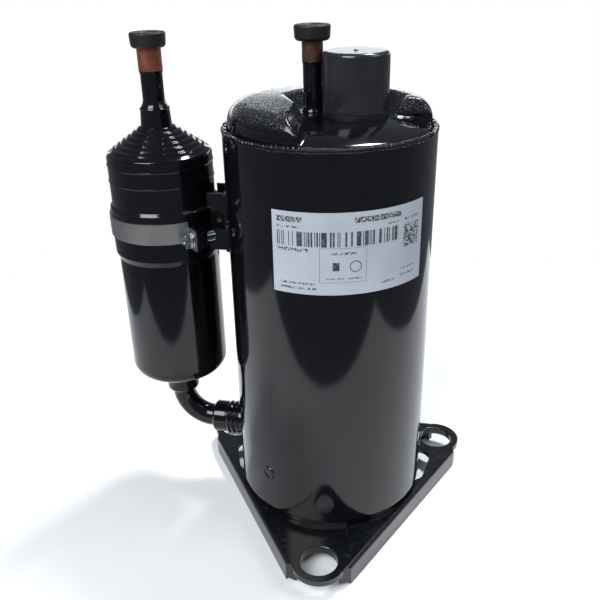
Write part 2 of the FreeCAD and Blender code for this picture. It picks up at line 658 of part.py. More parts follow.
def accumulator_inside():
    """The standpipe draws vapour from above the liquid; the baffle and screen keep drops off it."""
    top = "(accumulator_joint + accumulator_lap)"
    pipe = turned_body("Standpipe", [
        ("outlet_radius - tube_wall", "accumulator_low - 0.5"), ("outlet_radius", "accumulator_low - 0.5"),
        ("outlet_radius", top), ("outlet_radius - tube_wall", top)])
    bleed = rod_along("StandpipeBleed", "0.8", "outlet_radius * 2", z="accumulator_low + 8")
    node("accumulator_standpipe", by_accumulator(cut("StandpipeBled", pipe, bleed)))

    inner = "(accumulator_radius + 0.1 - accumulator_wall)"
    disc = turned_body("Baffle", [
        ("0", f"{top} + 4"), (inner, f"{top} + 4"), (inner, f"{top} + 5"), ("0", f"{top} + 5")])
    ports = [put(cylinder(f"BafflePort{number}", "4", "10"), f"accumulator_radius * 0.6 * cos({120 * number} deg)",
                 f"accumulator_radius * 0.6 * sin({120 * number} deg)", top) for number in range(3)]
    node("accumulator_baffle", by_accumulator(cut("BafflePlate", disc, *ports)))

    screen = turned_body("Screen", [
        ("0", f"{top} + 9"), (f"{inner} - 5", f"{top} + 9"), (inner, f"{top} + 13"), (inner, f"{top} + 13.8"),
        (f"{inner} - 5.3", f"{top} + 9.8"), ("0", f"{top} + 9.8")])
    node("accumulator_screen", by_accumulator(screen))


def accumulator_bushing():
    low = "(accumulator_neck - 4)"
    top = "(accumulator_neck + bushing_length)"
    body = turned_body("SuctionBushing", [
        ("suction_radius", low), ("neck_radius", low), ("neck_radius", "accumulator_neck + 0.8"),
        ("neck_radius - 0.5", f"{top} - 1"), ("neck_radius - 0.1", f"{top} - 0.8"), ("neck_radius - 0.5", top),
        ("suction_radius", top)])
    node("suction_bushing", by_accumulator(body))


def outlet_pipe():
    """The pipe leaves the accumulator downwards and turns into the pump's suction port."""
    corner = f"({SUCTION_HEIGHT} + outlet_bend)"
    reach = "(accumulator_distance - outlet_bend - shell_radius + shell_wall * 6)"
    layers = []
    for name, radius in (("Outside", "outlet_radius"), ("Inside", "outlet_radius - tube_wall")):
        drop = cylinder("OutletDrop" + name, radius, f"accumulator_low - 0.5 - {corner}", z=corner)
        bend = bind(doc.addObject("Part::Torus", "OutletBend" + name), Radius1="outlet_bend", Radius2=radius,
                    Angle3="90")
        put(bend, x="outlet_bend", z=corner, turn="180", axis=(0, 1, -1))
        run = rod_along("OutletRun" + name, radius, reach, x="outlet_bend", z=SUCTION_HEIGHT)
        layers.append(fuse("Outlet" + name, drop, bend, run))
    node("suction_elbow", by_accumulator(cut("OutletPipe", *layers)))

    collar = turned_body("OutletFerrule", [
        ("outlet_radius", "accumulator_low - ferrule_length"),
        ("ferrule_radius - 1.2", "accumulator_low - ferrule_length"),
        ("ferrule_radius", "accumulator_low - ferrule_length + 1.6"),
        ("ferrule_radius", "accumulator_low"), ("outlet_radius", "accumulator_low")])
    node("accumulator_ferrule", by_accumulator(collar))


SLEEVE_RINGS = 3


def shell_sleeve():
    """The sleeve that the suction pipe is brazed in, welded to the shell, with its weld rings."""
    length = "sleeve_length"
    points = [("outlet_radius", "-shell_wall"), ("ferrule_radius", "-shell_wall")]
    for ring in range(SLEEVE_RINGS):
        for share, swell in ((0, 0), (0.3, 0.5), (0.65, -0.3)):
            points.append((f"ferrule_radius + {swell}", f"{length} * (0.09 + {ring + share} * 0.16)"))
    points += [("ferrule_radius", f"{length} * 0.6"), ("ferrule_radius", f"{length} - 1.2"),
               ("ferrule_radius - 1.2", length), ("outlet_radius", length)]
    sleeve = put(turned_body("SleeveTurned", points), turn="90", axis=(0, 1, 0))
    carrier = around(compound("SleeveBlank", sleeve), "shell_radius", "accumulator_angle", SUCTION_HEIGHT)
    room = cylinder("SleeveShellRoom", "shell_radius", "shell_length", z="shell_low")
    node("suction_sleeve", cut("SuctionSleeve", carrier, room))


# --------------------------------------------------------------------------- clamp
EAR_HOLE = f"({SOCKET} + ear_length * 0.6)"
SCREW_HEIGHT = "(band_low - ear_drop + band_height / 2)"
HOOK_LENGTH = 5


def ear(name, low_side, thickness):
    """One radial ear of the clamp with its screw hole, in the frame of the ears."""
    blank = box(name + "_blank", "ear_length", thickness, "band_height", SOCKET, low_side, "band_low - ear_drop")
    hole = rod_along(name + "_hole", "clamp_screw_radius + 0.15", "20", x=EAR_HOLE, y="-10",
                     z=SCREW_HEIGHT, axis=(1, 0, 0), turn="-90")
    return by_accumulator(cut(name, blank, hole), spin="ear_angle")


def clamp_band():
    ring = turned_body("BandRing", [
        (SOCKET, "band_low"), (f"{SOCKET} + band_thickness", "band_low"),
        (f"{SOCKET} + band_thickness", "band_low + band_height"), (SOCKET, "band_low + band_height")],
        sweep="360 + ear_angle - band_hook_angle")
    by_accumulator(ring, spin="band_hook_angle")
    hook = box("BandHookBlank", HOOK_LENGTH, "band_thickness", "band_height", x=SOCKET, z="band_low")
    by_hook = by_accumulator(compound("BandHook", hook), spin="band_hook_angle")
    node("clamp_band", fuse("ClampBand", ring, ear("BandEar", "-band_thickness", "band_thickness"), by_hook))


def clamp_bracket():
    """A saddle against the accumulator, two webs and a foot that is welded to the shell."""
    thick = "bracket_thickness"
    saddle = turned_body("Saddle", [
        (SOCKET, "band_low - 4"), (f"{SOCKET} + {thick}", "band_low - 4"),
        (f"{SOCKET} + {thick}", "band_low + band_height + 4.5"), (SOCKET, "band_low + band_height + 4.5")],
        sweep="band_hook_angle - ear_angle - 6")
    by_accumulator(saddle, spin="ear_angle + 3.4")
    front_ear = ear("BracketEar", "0.8", thick)
    hook = box("BracketHookBlank", HOOK_LENGTH, thick, "band_height", SOCKET, f"-{thick} - 0.1", "band_low")
    rear_ear = by_accumulator(compound("BracketHook", hook), spin="band_hook_angle")
    webs = []
    for number, side in enumerate(("-9", f"9 - {thick}")):
        length = "accumulator_distance - shell_radius - accumulator_radius + 12"
        webs.append(box(f"BracketWeb{number}", length, thick, "bracket_height", f"{SOCKET} - 6", side, "bracket_low"))
    pair = by_accumulator(fuse("BracketWebs", *webs))
    foot = turned_body("BracketFoot", [
        ("shell_radius + 0.01", "bracket_low"), (f"shell_radius + {thick}", "bracket_low"),
        (f"shell_radius + {thick}", "bracket_low + bracket_height"),
        ("shell_radius + 0.01", "bracket_low + bracket_height")], sweep="2 * bracket_foot_angle")
    put(foot, turn="accumulator_angle - bracket_foot_angle")
    tank_room = by_accumulator(cylinder("BracketTankRoom", SOCKET, "bracket_height + 4"), z="bracket_low - 2")
    shell_room = cylinder("BracketShellRoom", "shell_radius + 0.01", "bracket_height + 4", z="bracket_low - 2")
    solid = fuse("BracketSolid", saddle, front_ear, rear_ear, pair, foot)
    node("clamp_bracket", cut("ClampBracket", solid, tank_room, shell_room))


def bracket_welds():
    welds = [radial_rod(f"BracketWeld{number}", "2.6", "shell_radius - 0.4", "1.3",
                        f"accumulator_angle + {side} * bracket_weld_angle", "bracket_low + bracket_height * 0.55")
             for number, side in enumerate((-1, 1))]
    room = cylinder("BracketWeldRoom", "shell_radius", "bracket_height", z="bracket_low")
    node("bracket_welds", cut("BracketWelds", compound("BracketWeldPair", *welds), room))


def clamp_fastener():
    """The screw with its washer on the band's side and the weld nut behind the bracket's ear."""
    middle = SCREW_HEIGHT
    face = "-band_thickness"
    along = {"axis": (1, 0, 0), "turn": "-90"}
    shank = rod_along("ScrewShank", "clamp_screw_radius", "screw_length", x=EAR_HOLE, y=f"{face} - 1", z=middle,
                      **along)
    head = bind(doc.addObject("Part::Prism", "ScrewHead"), Circumradius="clamp_screw_radius * 1.65", Height="3.4")
    head.Polygon = 6
    put(head, x=EAR_HOLE, y=f"{face} - 1 - 3.4", z=middle, **along)
    flange = rod_along("ScrewFlange", "clamp_screw_radius * 1.75", "0.8", x=EAR_HOLE, y=f"{face} - 1.8", z=middle,
                       **along)
    socket = rod_along("ScrewRecess", "clamp_screw_radius * 0.75", "2", x=EAR_HOLE, y=f"{face} - 5.4", z=middle,
                       **along)
    screw = cut("ClampScrew", fuse("ScrewSolid", shank, head, flange), socket)
    node("clamp_screw", by_accumulator(screw, spin="ear_angle"))

    disc = rod_along("WasherDisc", "clamp_screw_radius * 1.85", "1", x=EAR_HOLE, y=f"{face} - 1", z=middle, **along)
    hole = rod_along("WasherHole", "clamp_screw_radius + 0.02", "3", x=EAR_HOLE, y=f"{face} - 2", z=middle, **along)
    node("clamp_washer", by_accumulator(cut("ClampWasher", disc, hole), spin="ear_angle"))

    block = box("NutBlock", "8", "3.4", "8", f"{EAR_HOLE} - 4", "0.8 + bracket_thickness", f"{middle} - 4")
    thread = rod_along("NutThread", "clamp_screw_radius + 0.02", "9", x=EAR_HOLE, y="0", z=middle, **along)
    node("clamp_weld_nut", by_accumulator(cut("ClampNut", block, thread), spin="ear_angle"))


# --------------------------------------------------------------------------- label and terminals
def name_label():
    inner = "(shell_radius + 0.01)"
    body = turned_body("NameLabel", [
        (inner, "label_low"), (f"{inner} + label_thickness", "label_low"),
        (f"{inner} + label_thickness", "label_low + label_height"), (inner, "label_low + label_height")],
        sweep="label_sweep")
    node("name_label", put(body, turn="label_start"))


def at_terminal(item, z="0"):
    return put(item, "cover_x", "cover_y", z)


def pin_place(number):
    """Place of one of the three pins, as expressions."""
    return (f"cover_x + pin_circle / 2 * cos({90 + 120 * number} deg)",
            f"cover_y + pin_circle / 2 * sin({90 + 120 * number} deg)")


def terminals():
    under = f"({PAD} - cap_wall)"
    body = turned_body("TerminalBody", [
        ("0", f"{PAD} - 0.8"), ("terminal_radius - 2", f"{PAD} - 0.8"), ("terminal_radius - 2", f"{under} - 1.6"),
        ("terminal_radius + 2.4", f"{under} - 1.6"), ("terminal_radius + 2.4", under), ("terminal_radius", under),
        ("terminal_radius", f"{PAD} + 1.2"), ("0", f"{PAD} + 1.2")])
    at_terminal(body)
    eyes = []
    beads = []
    pins = []
    for number in range(3):
        x, y = pin_place(number)
        eyes.append(cylinder(f"TerminalEye{number}", "pin_radius + 1.4", "6", x=x, y=y, z=f"{PAD} - 3"))
        bead = cylinder(f"BeadBlank{number}", "pin_radius + 1.4", "2.6", x=x, y=y, z=f"{PAD} - 1")
        room = cylinder(f"BeadRoom{number}", "pin_radius", "6", x=x, y=y, z=f"{PAD} - 3")
        beads.append(cut(f"GlassBead{number}", bead, room))
        pin = cylinder(f"PinRod{number}", "pin_radius", "17", x=x, y=y, z=f"{PAD} - 10")
        tab = box(f"PinTab{number}", "tab_width", "0.8", "12", f"{x} - tab_width / 2", f"{y} - 0.4", f"{PAD} + 4")
        pins.append(fuse(f"TerminalPin{number}", pin, tab))
    node("terminal_body", cut("TerminalPlate", body, *eyes))
    node("terminal_glass_beads", compound("GlassBeads", *beads))
    node("terminal_pins", compound("TerminalPins", *pins))

    ring = turned_body("CoverGasket", [
        ("terminal_radius + 0.6", PAD), ("cover_radius - 0.2", PAD),
        ("cover_radius - 0.2", f"{PAD} + gasket_thickness"), ("terminal_radius + 0.6", f"{PAD} + gasket_thickness")])
    node("terminal_gasket", at_terminal(ring))


def terminal_cover():
    low = f"({PAD} + gasket_thickness + 0.02)"
    top = f"({PAD} + gasket_thickness + 0.02 + cover_height)"
    inner = "(cover_radius - cover_wall)"
    body = turned_body("TerminalCover", [
        (inner, low), ("cover_radius", low), ("cover_radius", top), ("1", top), ("1", f"{top} + 0.4"),
        ("0", f"{top} + 0.4"), ("0", f"{top} - cover_wall"), (inner, f"{top} - cover_wall")])
    roof = size("shell_top") + size("pad_rise") + size("gasket_thickness") + 0.02 + size("cover_height")
    round_edges(body, "cover_wall * 1.2", at_height(roof, size("cover_radius")))
    node("terminal_cover", at_terminal(body))


def routed(name, points, radius, bend):
    """A round lead along straight runs that are joined by tangent arcs."""
    corners = [FreeCAD.Vector(*point) for point in points]
    edges = []
    start = corners[0]
    for before, corner, after in zip(corners, corners[1:], corners[2:]):
        incoming = (corner - before).normalize()
        outgoing = (after - corner).normalize()
        half = incoming.getAngle(outgoing) / 2
        setback = bend * math.tan(half)
        first = corner - incoming * setback
        last = corner + outgoing * setback
        side = (outgoing - incoming).normalize()
        middle = corner + side * (bend / math.cos(half) - bend)
        edges.append(Part.makeLine(start, first))
        edges.append(Part.Arc(first, middle, last).toShape())
        start = last
    edges.append(Part.makeLine(start, corners[-1]))
    section = Part.Wire(Part.makeCircle(radius, corners[0], corners[1] - corners[0]))
    lead = doc.addObject("Part::Feature", name)
    lead.Shape = Part.Wire(edges).makePipeShell([section], True, True)
    return lead


def motor_leads():
    """A plug on the three pins inside the shell and its leads down to the windings."""
    plug_low = size("shell_top") + size("pad_rise") - 17
    winding_top = size("stack_low") + size("stack_height") + size("winding_height")
    plug = cylinder("LeadPlugBlank", "terminal_radius - 2.4", "9", x="cover_x", y="cover_y", z=f"{PAD} - 17")
    rooms = []
    leads = []
    for number in range(3):
        x, y = pin_place(number)
        rooms.append(cylinder(f"LeadPlugRoom{number}", "pin_radius + 0.05", "6", x=x, y=y, z=f"{PAD} - 10.5"))
        angle = math.radians(90 + 120 * number)
        pin_x = size("cover_x") + size("pin_circle") / 2 * math.cos(angle)
        pin_y = size("cover_y") + size("pin_circle") / 2 * math.sin(angle)
        heading = math.radians(60 * (1 - number))
        ring = size("shell_radius") - size("shell_wall") - 11
        landing = (ring * math.cos(heading), ring * math.sin(heading))
        level = (plug_low + winding_top) / 2
        leads.append(routed(f"MotorLead{number}", [
            (pin_x, pin_y, plug_low), (pin_x, pin_y, level), (landing[0], landing[1], level),
            (landing[0], landing[1], winding_top)], 1.1, 3.5))
    node("lead_plug", cut("LeadPlug", plug, *rooms))
    node("motor_leads", compound("MotorLeads", *leads))


# --------------------------------------------------------------------------- pump
def in_pump(item, z="0"):
    """Place an object on the shell's axis with its own +X along the vane."""
    return put(item, z=z, turn="vane_angle")


def bolt_places(start=60):
    """Five places around the axis, clear of the vane and of the suction port."""
    angles = [start + 72 * number for number in range(5)]
    return [(f"bolt_circle / 2 * cos({angle} deg)", f"bolt_circle / 2 * sin({angle} deg)") for angle in angles]


def bolt_rods(name, radius, height, low):
    return [cylinder(f"{name}{number}", radius, height, x=x, y=y, z=low)
            for number, (x, y) in enumerate(bolt_places())]


def cylinder_block():
    blank = turned_body("CylinderBlank", [
        ("bore_radius", "cylinder_low"), (f"{SHELL_BORE} - 0.1", "cylinder_low"),
        (f"{SHELL_BORE} - 0.1", CYLINDER_TOP), ("bore_radius", CYLINDER_TOP)])
    height = "cylinder_height + 2"
    low = "cylinder_low - 1"
    slot = box("VaneSlot", "vane_length + 4", "vane_thickness + 0.06", height, "bore_radius - 2",
               "-vane_thickness / 2 - 0.03", low)
    spring_room = rod_along("VaneSpringRoom", "3.6", "spring_room + 3", x="bore_radius + vane_length - 2",
                            z=SUCTION_HEIGHT)
    suction_angle = "accumulator_angle - vane_angle"
    intake = rod_along("SuctionBoreRod", "suction_port_radius", SHELL_BORE,
                       x="shell_radius - shell_wall * 6 - 0.5", z=SUCTION_HEIGHT)
    throat = rod_along("SuctionThroatRod", "suction_port_radius - 1.5", f"{SHELL_BORE} - bore_radius",
                       x="bore_radius - 1", z=SUCTION_HEIGHT)
    suction_side = put(compound("SuctionSide", intake, throat), turn=suction_angle)
    notch = put(cylinder("DischargeNotch", "port_radius", "port_radius * 2", z=f"{CYLINDER_TOP} - 3"),
                "port_distance * cos(port_angle * 1 deg) * 1.06", "port_distance * sin(port_angle * 1 deg) * 1.06",
                f"{CYLINDER_TOP} - 3")
    drains = [cylinder(f"CylinderDrain{number}", "3.4", height, x=f"{SHELL_BORE} * 0.87 * cos({angle} deg)",
                       y=f"{SHELL_BORE} * 0.87 * sin({angle} deg)", z=low)
              for number, angle in enumerate((72, 144, 216, 288))]
    holes = bolt_rods("CylinderBoltHole", "pump_bolt_radius + 0.2", height, low)
    body = cut("CylinderBlock", blank, slot, spring_room, suction_side, notch, *drains, *holes)
    node("cylinder_block", in_pump(body))


def vane_and_spring():
    tip = "(bore_radius + 0.05)"
    blank = box("VaneBlank", "vane_length", "vane_thickness", "cylinder_height - 0.06", tip,
                "-vane_thickness / 2", "cylinder_low + 0.03")
    node("vane", in_pump(compound("Vane", blank)))

    turns = 4
    coil = bind(doc.addObject("Part::Helix", "SpringPath"), Radius="2.5",
                Height="spring_room - 2.2", Pitch=f"(spring_room - 2.2) / {turns}")
    put(coil, x=f"{tip} + vane_length + 1.5", z=SUCTION_HEIGHT, turn="90", axis=(0, 1, 0))
    section = bind(doc.addObject("Part::Circle", "SpringSection"), Radius="0.45")
    put(section, x=f"{tip} + vane_length + 1.5", z=f"{SUCTION_HEIGHT} - 2.5", turn="90", axis=(1, 0, 0))
    spring = doc.addObject("Part::Sweep", "VaneSpring")
    spring.Sections = [section]
    spring.Spine = (coil, ["Edge1"])
    spring.Solid = True
    spring.Frenet = True
    node("vane_spring", in_pump(compound("VaneSpringCoil", spring)))


def main_bearing():
    flange_top = MAIN_TOP
    hub_top = f"({MAIN_TOP} + main_hub)"
    bore = "(shaft_radius + running_gap)"
    blank = turned_body("MainBearingBlank", [
        (bore, CYLINDER_TOP), ("bearing_radius", CYLINDER_TOP), ("bearing_radius", flange_top),
        ("hub_radius + 1.5", flange_top), ("hub_radius", f"{flange_top} + 1.5"), ("hub_radius", f"{hub_top} - 1"),
        ("hub_radius - 1", hub_top), (bore, hub_top)])
    channel = box("ValveChannel", "reed_width + 1.4", "reed_length + 14.5", "valve_depth + 1",
                  "port_distance - reed_width / 2 - 0.7", "-reed_length - 10", f"{flange_top} - valve_depth")
    port = cylinder("DischargePort", "port_radius", "main_flange + 2", x="port_distance", z=f"{CYLINDER_TOP} - 1")
    rivet_hole = cylinder("RivetHole", "1.6", "main_flange", x="port_distance", y="-reed_length - 5",
                          z=f"{flange_top} - main_flange / 2 - 2")
    valve_side = put(compound("ValveSide", channel, port, rivet_hole), turn="port_angle")
    holes = bolt_rods("MainBoltHole", "pump_bolt_radius + 0.2", "main_flange + 2", f"{CYLINDER_TOP} - 1")
    node("main_bearing", in_pump(cut("MainBearing", blank, valve_side, *holes)))


def by_valve(name, *shapes):
    """Place shapes in the frame of the discharge port, the reed lying along -Y from it."""
    inner = put(compound(name + "_port", *shapes), turn="port_angle")
    return in_pump(compound(name, inner))


def discharge_valve():
    seat = f"({MAIN_TOP} - valve_depth)"
    lift = f"{seat} + 0.02"
    half = "reed_width / 2"
    strip = box("ReedStrip", "reed_width", "reed_length", "reed_thickness", f"port_distance - {half}",
                "-reed_length", lift)
    tip = cylinder("ReedTip", half, "reed_thickness", x="port_distance", z=lift)
    node("discharge_reed", by_valve("DischargeReed", fuse("ReedTongue", strip, tip)))

    rivet_y = "-reed_length - 5"
    root = box("ReedRootBlank", "reed_width", "9", "reed_thickness", f"port_distance - {half}",
               "-reed_length - 9.2", seat)
    root_hole = cylinder("ReedRootHole", "1.6", "4", x="port_distance", y=rivet_y, z=f"{seat} - 1")
    node("reed_root", by_valve("ReedRootPlaced", cut("ReedRoot", root, root_hole)))

    base = f"{seat} + reed_thickness"
    flat = box("StopFlat", "reed_width", "9.2", "1.2", f"port_distance - {half}", "-reed_length - 9.2", base)
    ramp = box("StopRamp", "reed_width", "reed_length + 3", "1.2")
    put(ramp, f"port_distance - {half}", "-reed_length", f"{base} + 0.1", turn="7", axis=(1, 0, 0))
    stop_hole = cylinder("StopHole", "1.6", "6", x="port_distance", y=rivet_y, z=seat)
    node("valve_stop", by_valve("ValveStopPlaced", cut("ValveStop", fuse("StopSolid", flat, ramp), stop_hole)))

    shank = cylinder("RivetShank", "1.5", "reed_thickness + 5", x="port_distance", y=rivet_y, z=f"{seat} - 3")
    head = cylinder("RivetHead", "2.6", "1.1", x="port_distance", y=rivet_y, z=f"{base} + 1.2")
    node("valve_rivet", by_valve("ValveRivetPlaced", fuse("ValveRivet", shank, head)))


def muffler():
    low = MAIN_TOP
    top = f"({MAIN_TOP} + muffler_height)"
    body = turned_body("MufflerBlank", [
        ("bearing_radius - 0.5", low), ("bearing_radius - 0.5", f"{low} + sheet"),
        ("muffler_radius", f"{low} + sheet"), ("muffler_radius - 3", top), ("hub_radius + 0.3", top),
        ("hub_radius + 0.3", f"{top} - sheet"),
        ("muffler_radius - 3 - sheet", f"{top} - sheet"), ("muffler_radius - sheet", low)])
    outlets = [cylinder(f"MufflerOutlet{number}", "2.8", "sheet * 4", y=f"{side} * muffler_radius * 0.68",
                        z=f"{top} - sheet * 2") for number, side in enumerate((-1, 1))]
    holes = bolt_rods("MufflerBoltHole", "pump_bolt_radius + 0.2", "sheet + 2", f"{low} - 1")
    node("muffler", in_pump(cut("Muffler", body, *outlets, *holes)))


def pump_bolts():
    head_low = f"({MAIN_TOP} + sheet)"
    shank_low = "(cylinder_low - sub_flange + 1)"
    bolts = []
    for number, (x, y) in enumerate(bolt_places()):
        shank = cylinder(f"PumpBoltShank{number}", "pump_bolt_radius", f"{head_low} - {shank_low}", x=x, y=y,
                         z=shank_low)
        head = bind(doc.addObject("Part::Prism", f"PumpBoltHead{number}"), Circumradius="pump_bolt_radius * 1.7",
                    Height="4")
        head.Polygon = 6
        bolts.append(fuse(f"PumpBolt{number}", shank, put(head, x, y, head_low)))
    node("pump_bolts", in_pump(compound("PumpBolts", *bolts)))


def sub_bearing():
    bore = "(shaft_radius + running_gap)"
    low = "(cylinder_low - sub_flange)"
    blank = turned_body("SubBearingBlank", [
        (bore, f"{low} - sub_hub"), ("hub_radius - 1", f"{low} - sub_hub"), ("hub_radius", f"{low} - sub_hub + 1"),
        ("hub_radius", f"{low} - 1.5"), ("hub_radius + 1.5", low), ("bearing_radius", low),
        ("bearing_radius", "cylinder_low"), (bore, "cylinder_low")])
    holes = bolt_rods("SubBoltHole", "pump_bolt_radius + 0.02", "sub_flange * 2", f"{low} + 1")
    node("sub_bearing", in_pump(cut("SubBearing", blank, *holes)))


# --------------------------------------------------------------------------- shaft and motor
SHAFT_LOW = "(cylinder_low - sub_flange - sub_hub - 1)"
ROLLER_OUTSIDE = "(bore_radius - eccentricity - running_gap)"


def crankshaft():
    """The shaft is drawn with its eccentric towards the vane."""
    top = f"({STACK_TOP} + 6)"
    rod = turned_body("ShaftRod", [
        ("0", SHAFT_LOW), ("shaft_radius - 0.6", SHAFT_LOW), ("shaft_radius", f"{SHAFT_LOW} + 0.6"),
        ("shaft_radius", f"{top} - 1"), ("shaft_radius - 1", top), ("0", top)])
    lobe = cylinder("ShaftEccentric", "eccentric_radius", "cylinder_height - 1", x="eccentricity",
                    z="cylinder_low + 0.5")
    bore = cylinder("ShaftOilBore", "oil_bore_radius", f"{MAIN_TOP} + 20 - {SHAFT_LOW}", z=f"{SHAFT_LOW} - 1")
    feed = rod_along("ShaftOilFeed", "1.5", "shaft_radius * 4", z=SUCTION_HEIGHT)
    node("crankshaft", in_pump(cut("Crankshaft", fuse("ShaftSolid", rod, lobe), bore, feed)))

    strip = box("PaddleStrip", "oil_bore_radius * 2 - 0.2", "0.8", "24", "0.1 - oil_bore_radius", "-0.4",
                f"{SHAFT_LOW} + 0.5")
    node("oil_paddle", in_pump(compound("OilPaddle", strip)))


def rolling_piston():
    inner = "(eccentric_radius + running_gap)"
    low = "(cylinder_low + 0.03)"
    top = "(cylinder_low + cylinder_height - 0.03)"
    ring = turned_body("RollingPiston", [(inner, low), (ROLLER_OUTSIDE, low), (ROLLER_OUTSIDE, top), (inner, top)])
    put(ring, "eccentricity * cos(vane_angle * 1 deg)", "eccentricity * sin(vane_angle * 1 deg)")
    node("rolling_piston", ring)


def rotor():
    core = turned_body("RotorBlank", [
        ("shaft_radius", "stack_low"), ("rotor_radius", "stack_low"), ("rotor_radius", STACK_TOP),
        ("shaft_radius", STACK_TOP)])
    circle = "rotor_radius * 0.46"
    vents = [cylinder(f"RotorVent{number}", "2.4", "stack_height + 2", x=f"{circle} * cos({60 * number} deg)",
                      y=f"{circle} * sin({60 * number} deg)", z="stack_low - 1") for number in range(6)]
    node("rotor_core", in_pump(cut("RotorCore", core, *vents)))

    rings = []
    weights = []
    for name, low, sweep_start in (("Upper", STACK_TOP, "-80"), ("Lower", "(stack_low - ring_height)", "100")):
        rings.append(turned_body("EndRing" + name, [
            ("rotor_radius * 0.6", low), ("rotor_radius - 1.2", low), ("rotor_radius - 1.2", f"{low} + ring_height"),
            ("rotor_radius * 0.6", f"{low} + ring_height")]))
        weight_low = f"({low} + ring_height)" if name == "Upper" else f"({low} - ring_height)"
        weight = turned_body("BalanceWeight" + name, [
            ("rotor_radius * 0.62", weight_low), ("rotor_radius - 2", weight_low),
            ("rotor_radius - 2", f"{weight_low} + ring_height"),
            ("rotor_radius * 0.62", f"{weight_low} + ring_height")], sweep="160")
        weights.append(put(weight, turn=f"vane_angle + {sweep_start}"))
    node("rotor_end_rings", compound("EndRings", *rings))
    node("balance_weight_upper", weights[0])
    node("balance_weight_lower", weights[1])


def slot_boxes(name, width, start, end, low, height):
    """One box in each slot of the stack."""
    boxes = []
    for number in range(int(size("slot_count"))):
        bar = box(f"{name}{number}_blank", f"({end}) - ({start})", width, height, start, f"-({width}) / 2", low)
        boxes.append(put(compound(f"{name}{number}", bar), turn=f"360 / slot_count * {number}"))
    return boxes


def stator():
    blank = turned_body("StatorBlank", [
        (STATOR_BORE, "stack_low"), (f"{SHELL_BORE} - stator_clearance", "stack_low"),
        (f"{SHELL_BORE} - stator_clearance", STACK_TOP), (STATOR_BORE, STACK_TOP)])
    inner = f"{STATOR_BORE} + 1.4"
    outer = f"{SHELL_BORE} - 8"
    slots = slot_boxes("StatorSlot", "slot_width", inner, outer, "stack_low - 1", "stack_height + 2")
    mouths = slot_boxes("SlotMouth", "slot_width * 0.4", f"{STATOR_BORE} - 1", f"{inner} + 1", "stack_low - 1",
                        "stack_height + 2")
    flats = []
    for number in range(6):
        flat = box(f"StatorFlat{number}_blank", "6", "14", "stack_height + 2", f"{SHELL_BORE} - 1.8", "-7",
                   "stack_low - 1")
        flats.append(put(compound(f"StatorFlat{number}", flat), turn=str(60 * number + 7.5)))
    node("stator_core", cut("StatorCore", blank, fuse("StatorGaps", *slots, *mouths, *flats)))

    bars = slot_boxes("SlotCoil", "slot_width - 0.6", f"{inner} + 0.3", f"{outer} - 0.3", "stack_low - 1",
                      "stack_height + 2")
    rings = []
    for name, low in (("Upper", STACK_TOP), ("Lower", "(stack_low - winding_height)")):
        ring = turned_body("Winding" + name, [
            (f"{inner} + 1.5", f"{low} + 1"), (f"{outer} + 1", f"{low} + 1"), (f"{outer} + 2.5", f"{low} + 4"),
            (f"{outer} + 2.5", f"{low} + winding_height - 4"), (f"{outer}", f"{low} + winding_height - 0.2"),
            (f"{inner} + 4", f"{low} + winding_height - 0.2"), (f"{inner} + 1.5", f"{low} + winding_height - 4")])
        rings.append(ring)
    node("stator_windings", fuse("StatorWindings", *bars, *rings))


def build():
    shell_tube()
    bottom_cap()
    top_cap()
    shell_beads()
    plug_welds()
    base_plate()
    base_plate_welds()
    tubes()
    tube_plugs()
    accumulator_shells()
    accumulator_inside()
    accumulator_bushing()
    outlet_pipe()
    shell_sleeve()
    clamp_band()
    clamp_bracket()
    bracket_welds()
    clamp_fastener()
    name_label()
    terminals()
    terminal_cover()
    motor_leads()
    cylinder_block()
    vane_and_spring()
    main_bearing()
    discharge_valve()
    muffler()
    pump_bolts()
    sub_bearing()
    crankshaft()
    rolling_piston()
    rotor()
    stator()
    doc.recompute()


def check():
    """Stop before anything is written if any object of the document has failed."""
    failed = [item.Name for item in doc.Objects if {"Invalid", "Error"} & set(item.State)]
    failed += [item.Label for item in nodes if item.Shape.isNull() or not item.Shape.isValid()]
    if failed:
        raise RuntimeError("failed: " + ", ".join(failed))


def write():
    os.makedirs("parts", exist_ok=True)
    for item in nodes:
        item.Shape.exportStep(f"parts/{item.Label}.step")


build()
check()
write()
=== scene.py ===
import json
import math
import bpy
from mathutils import Matrix, Vector

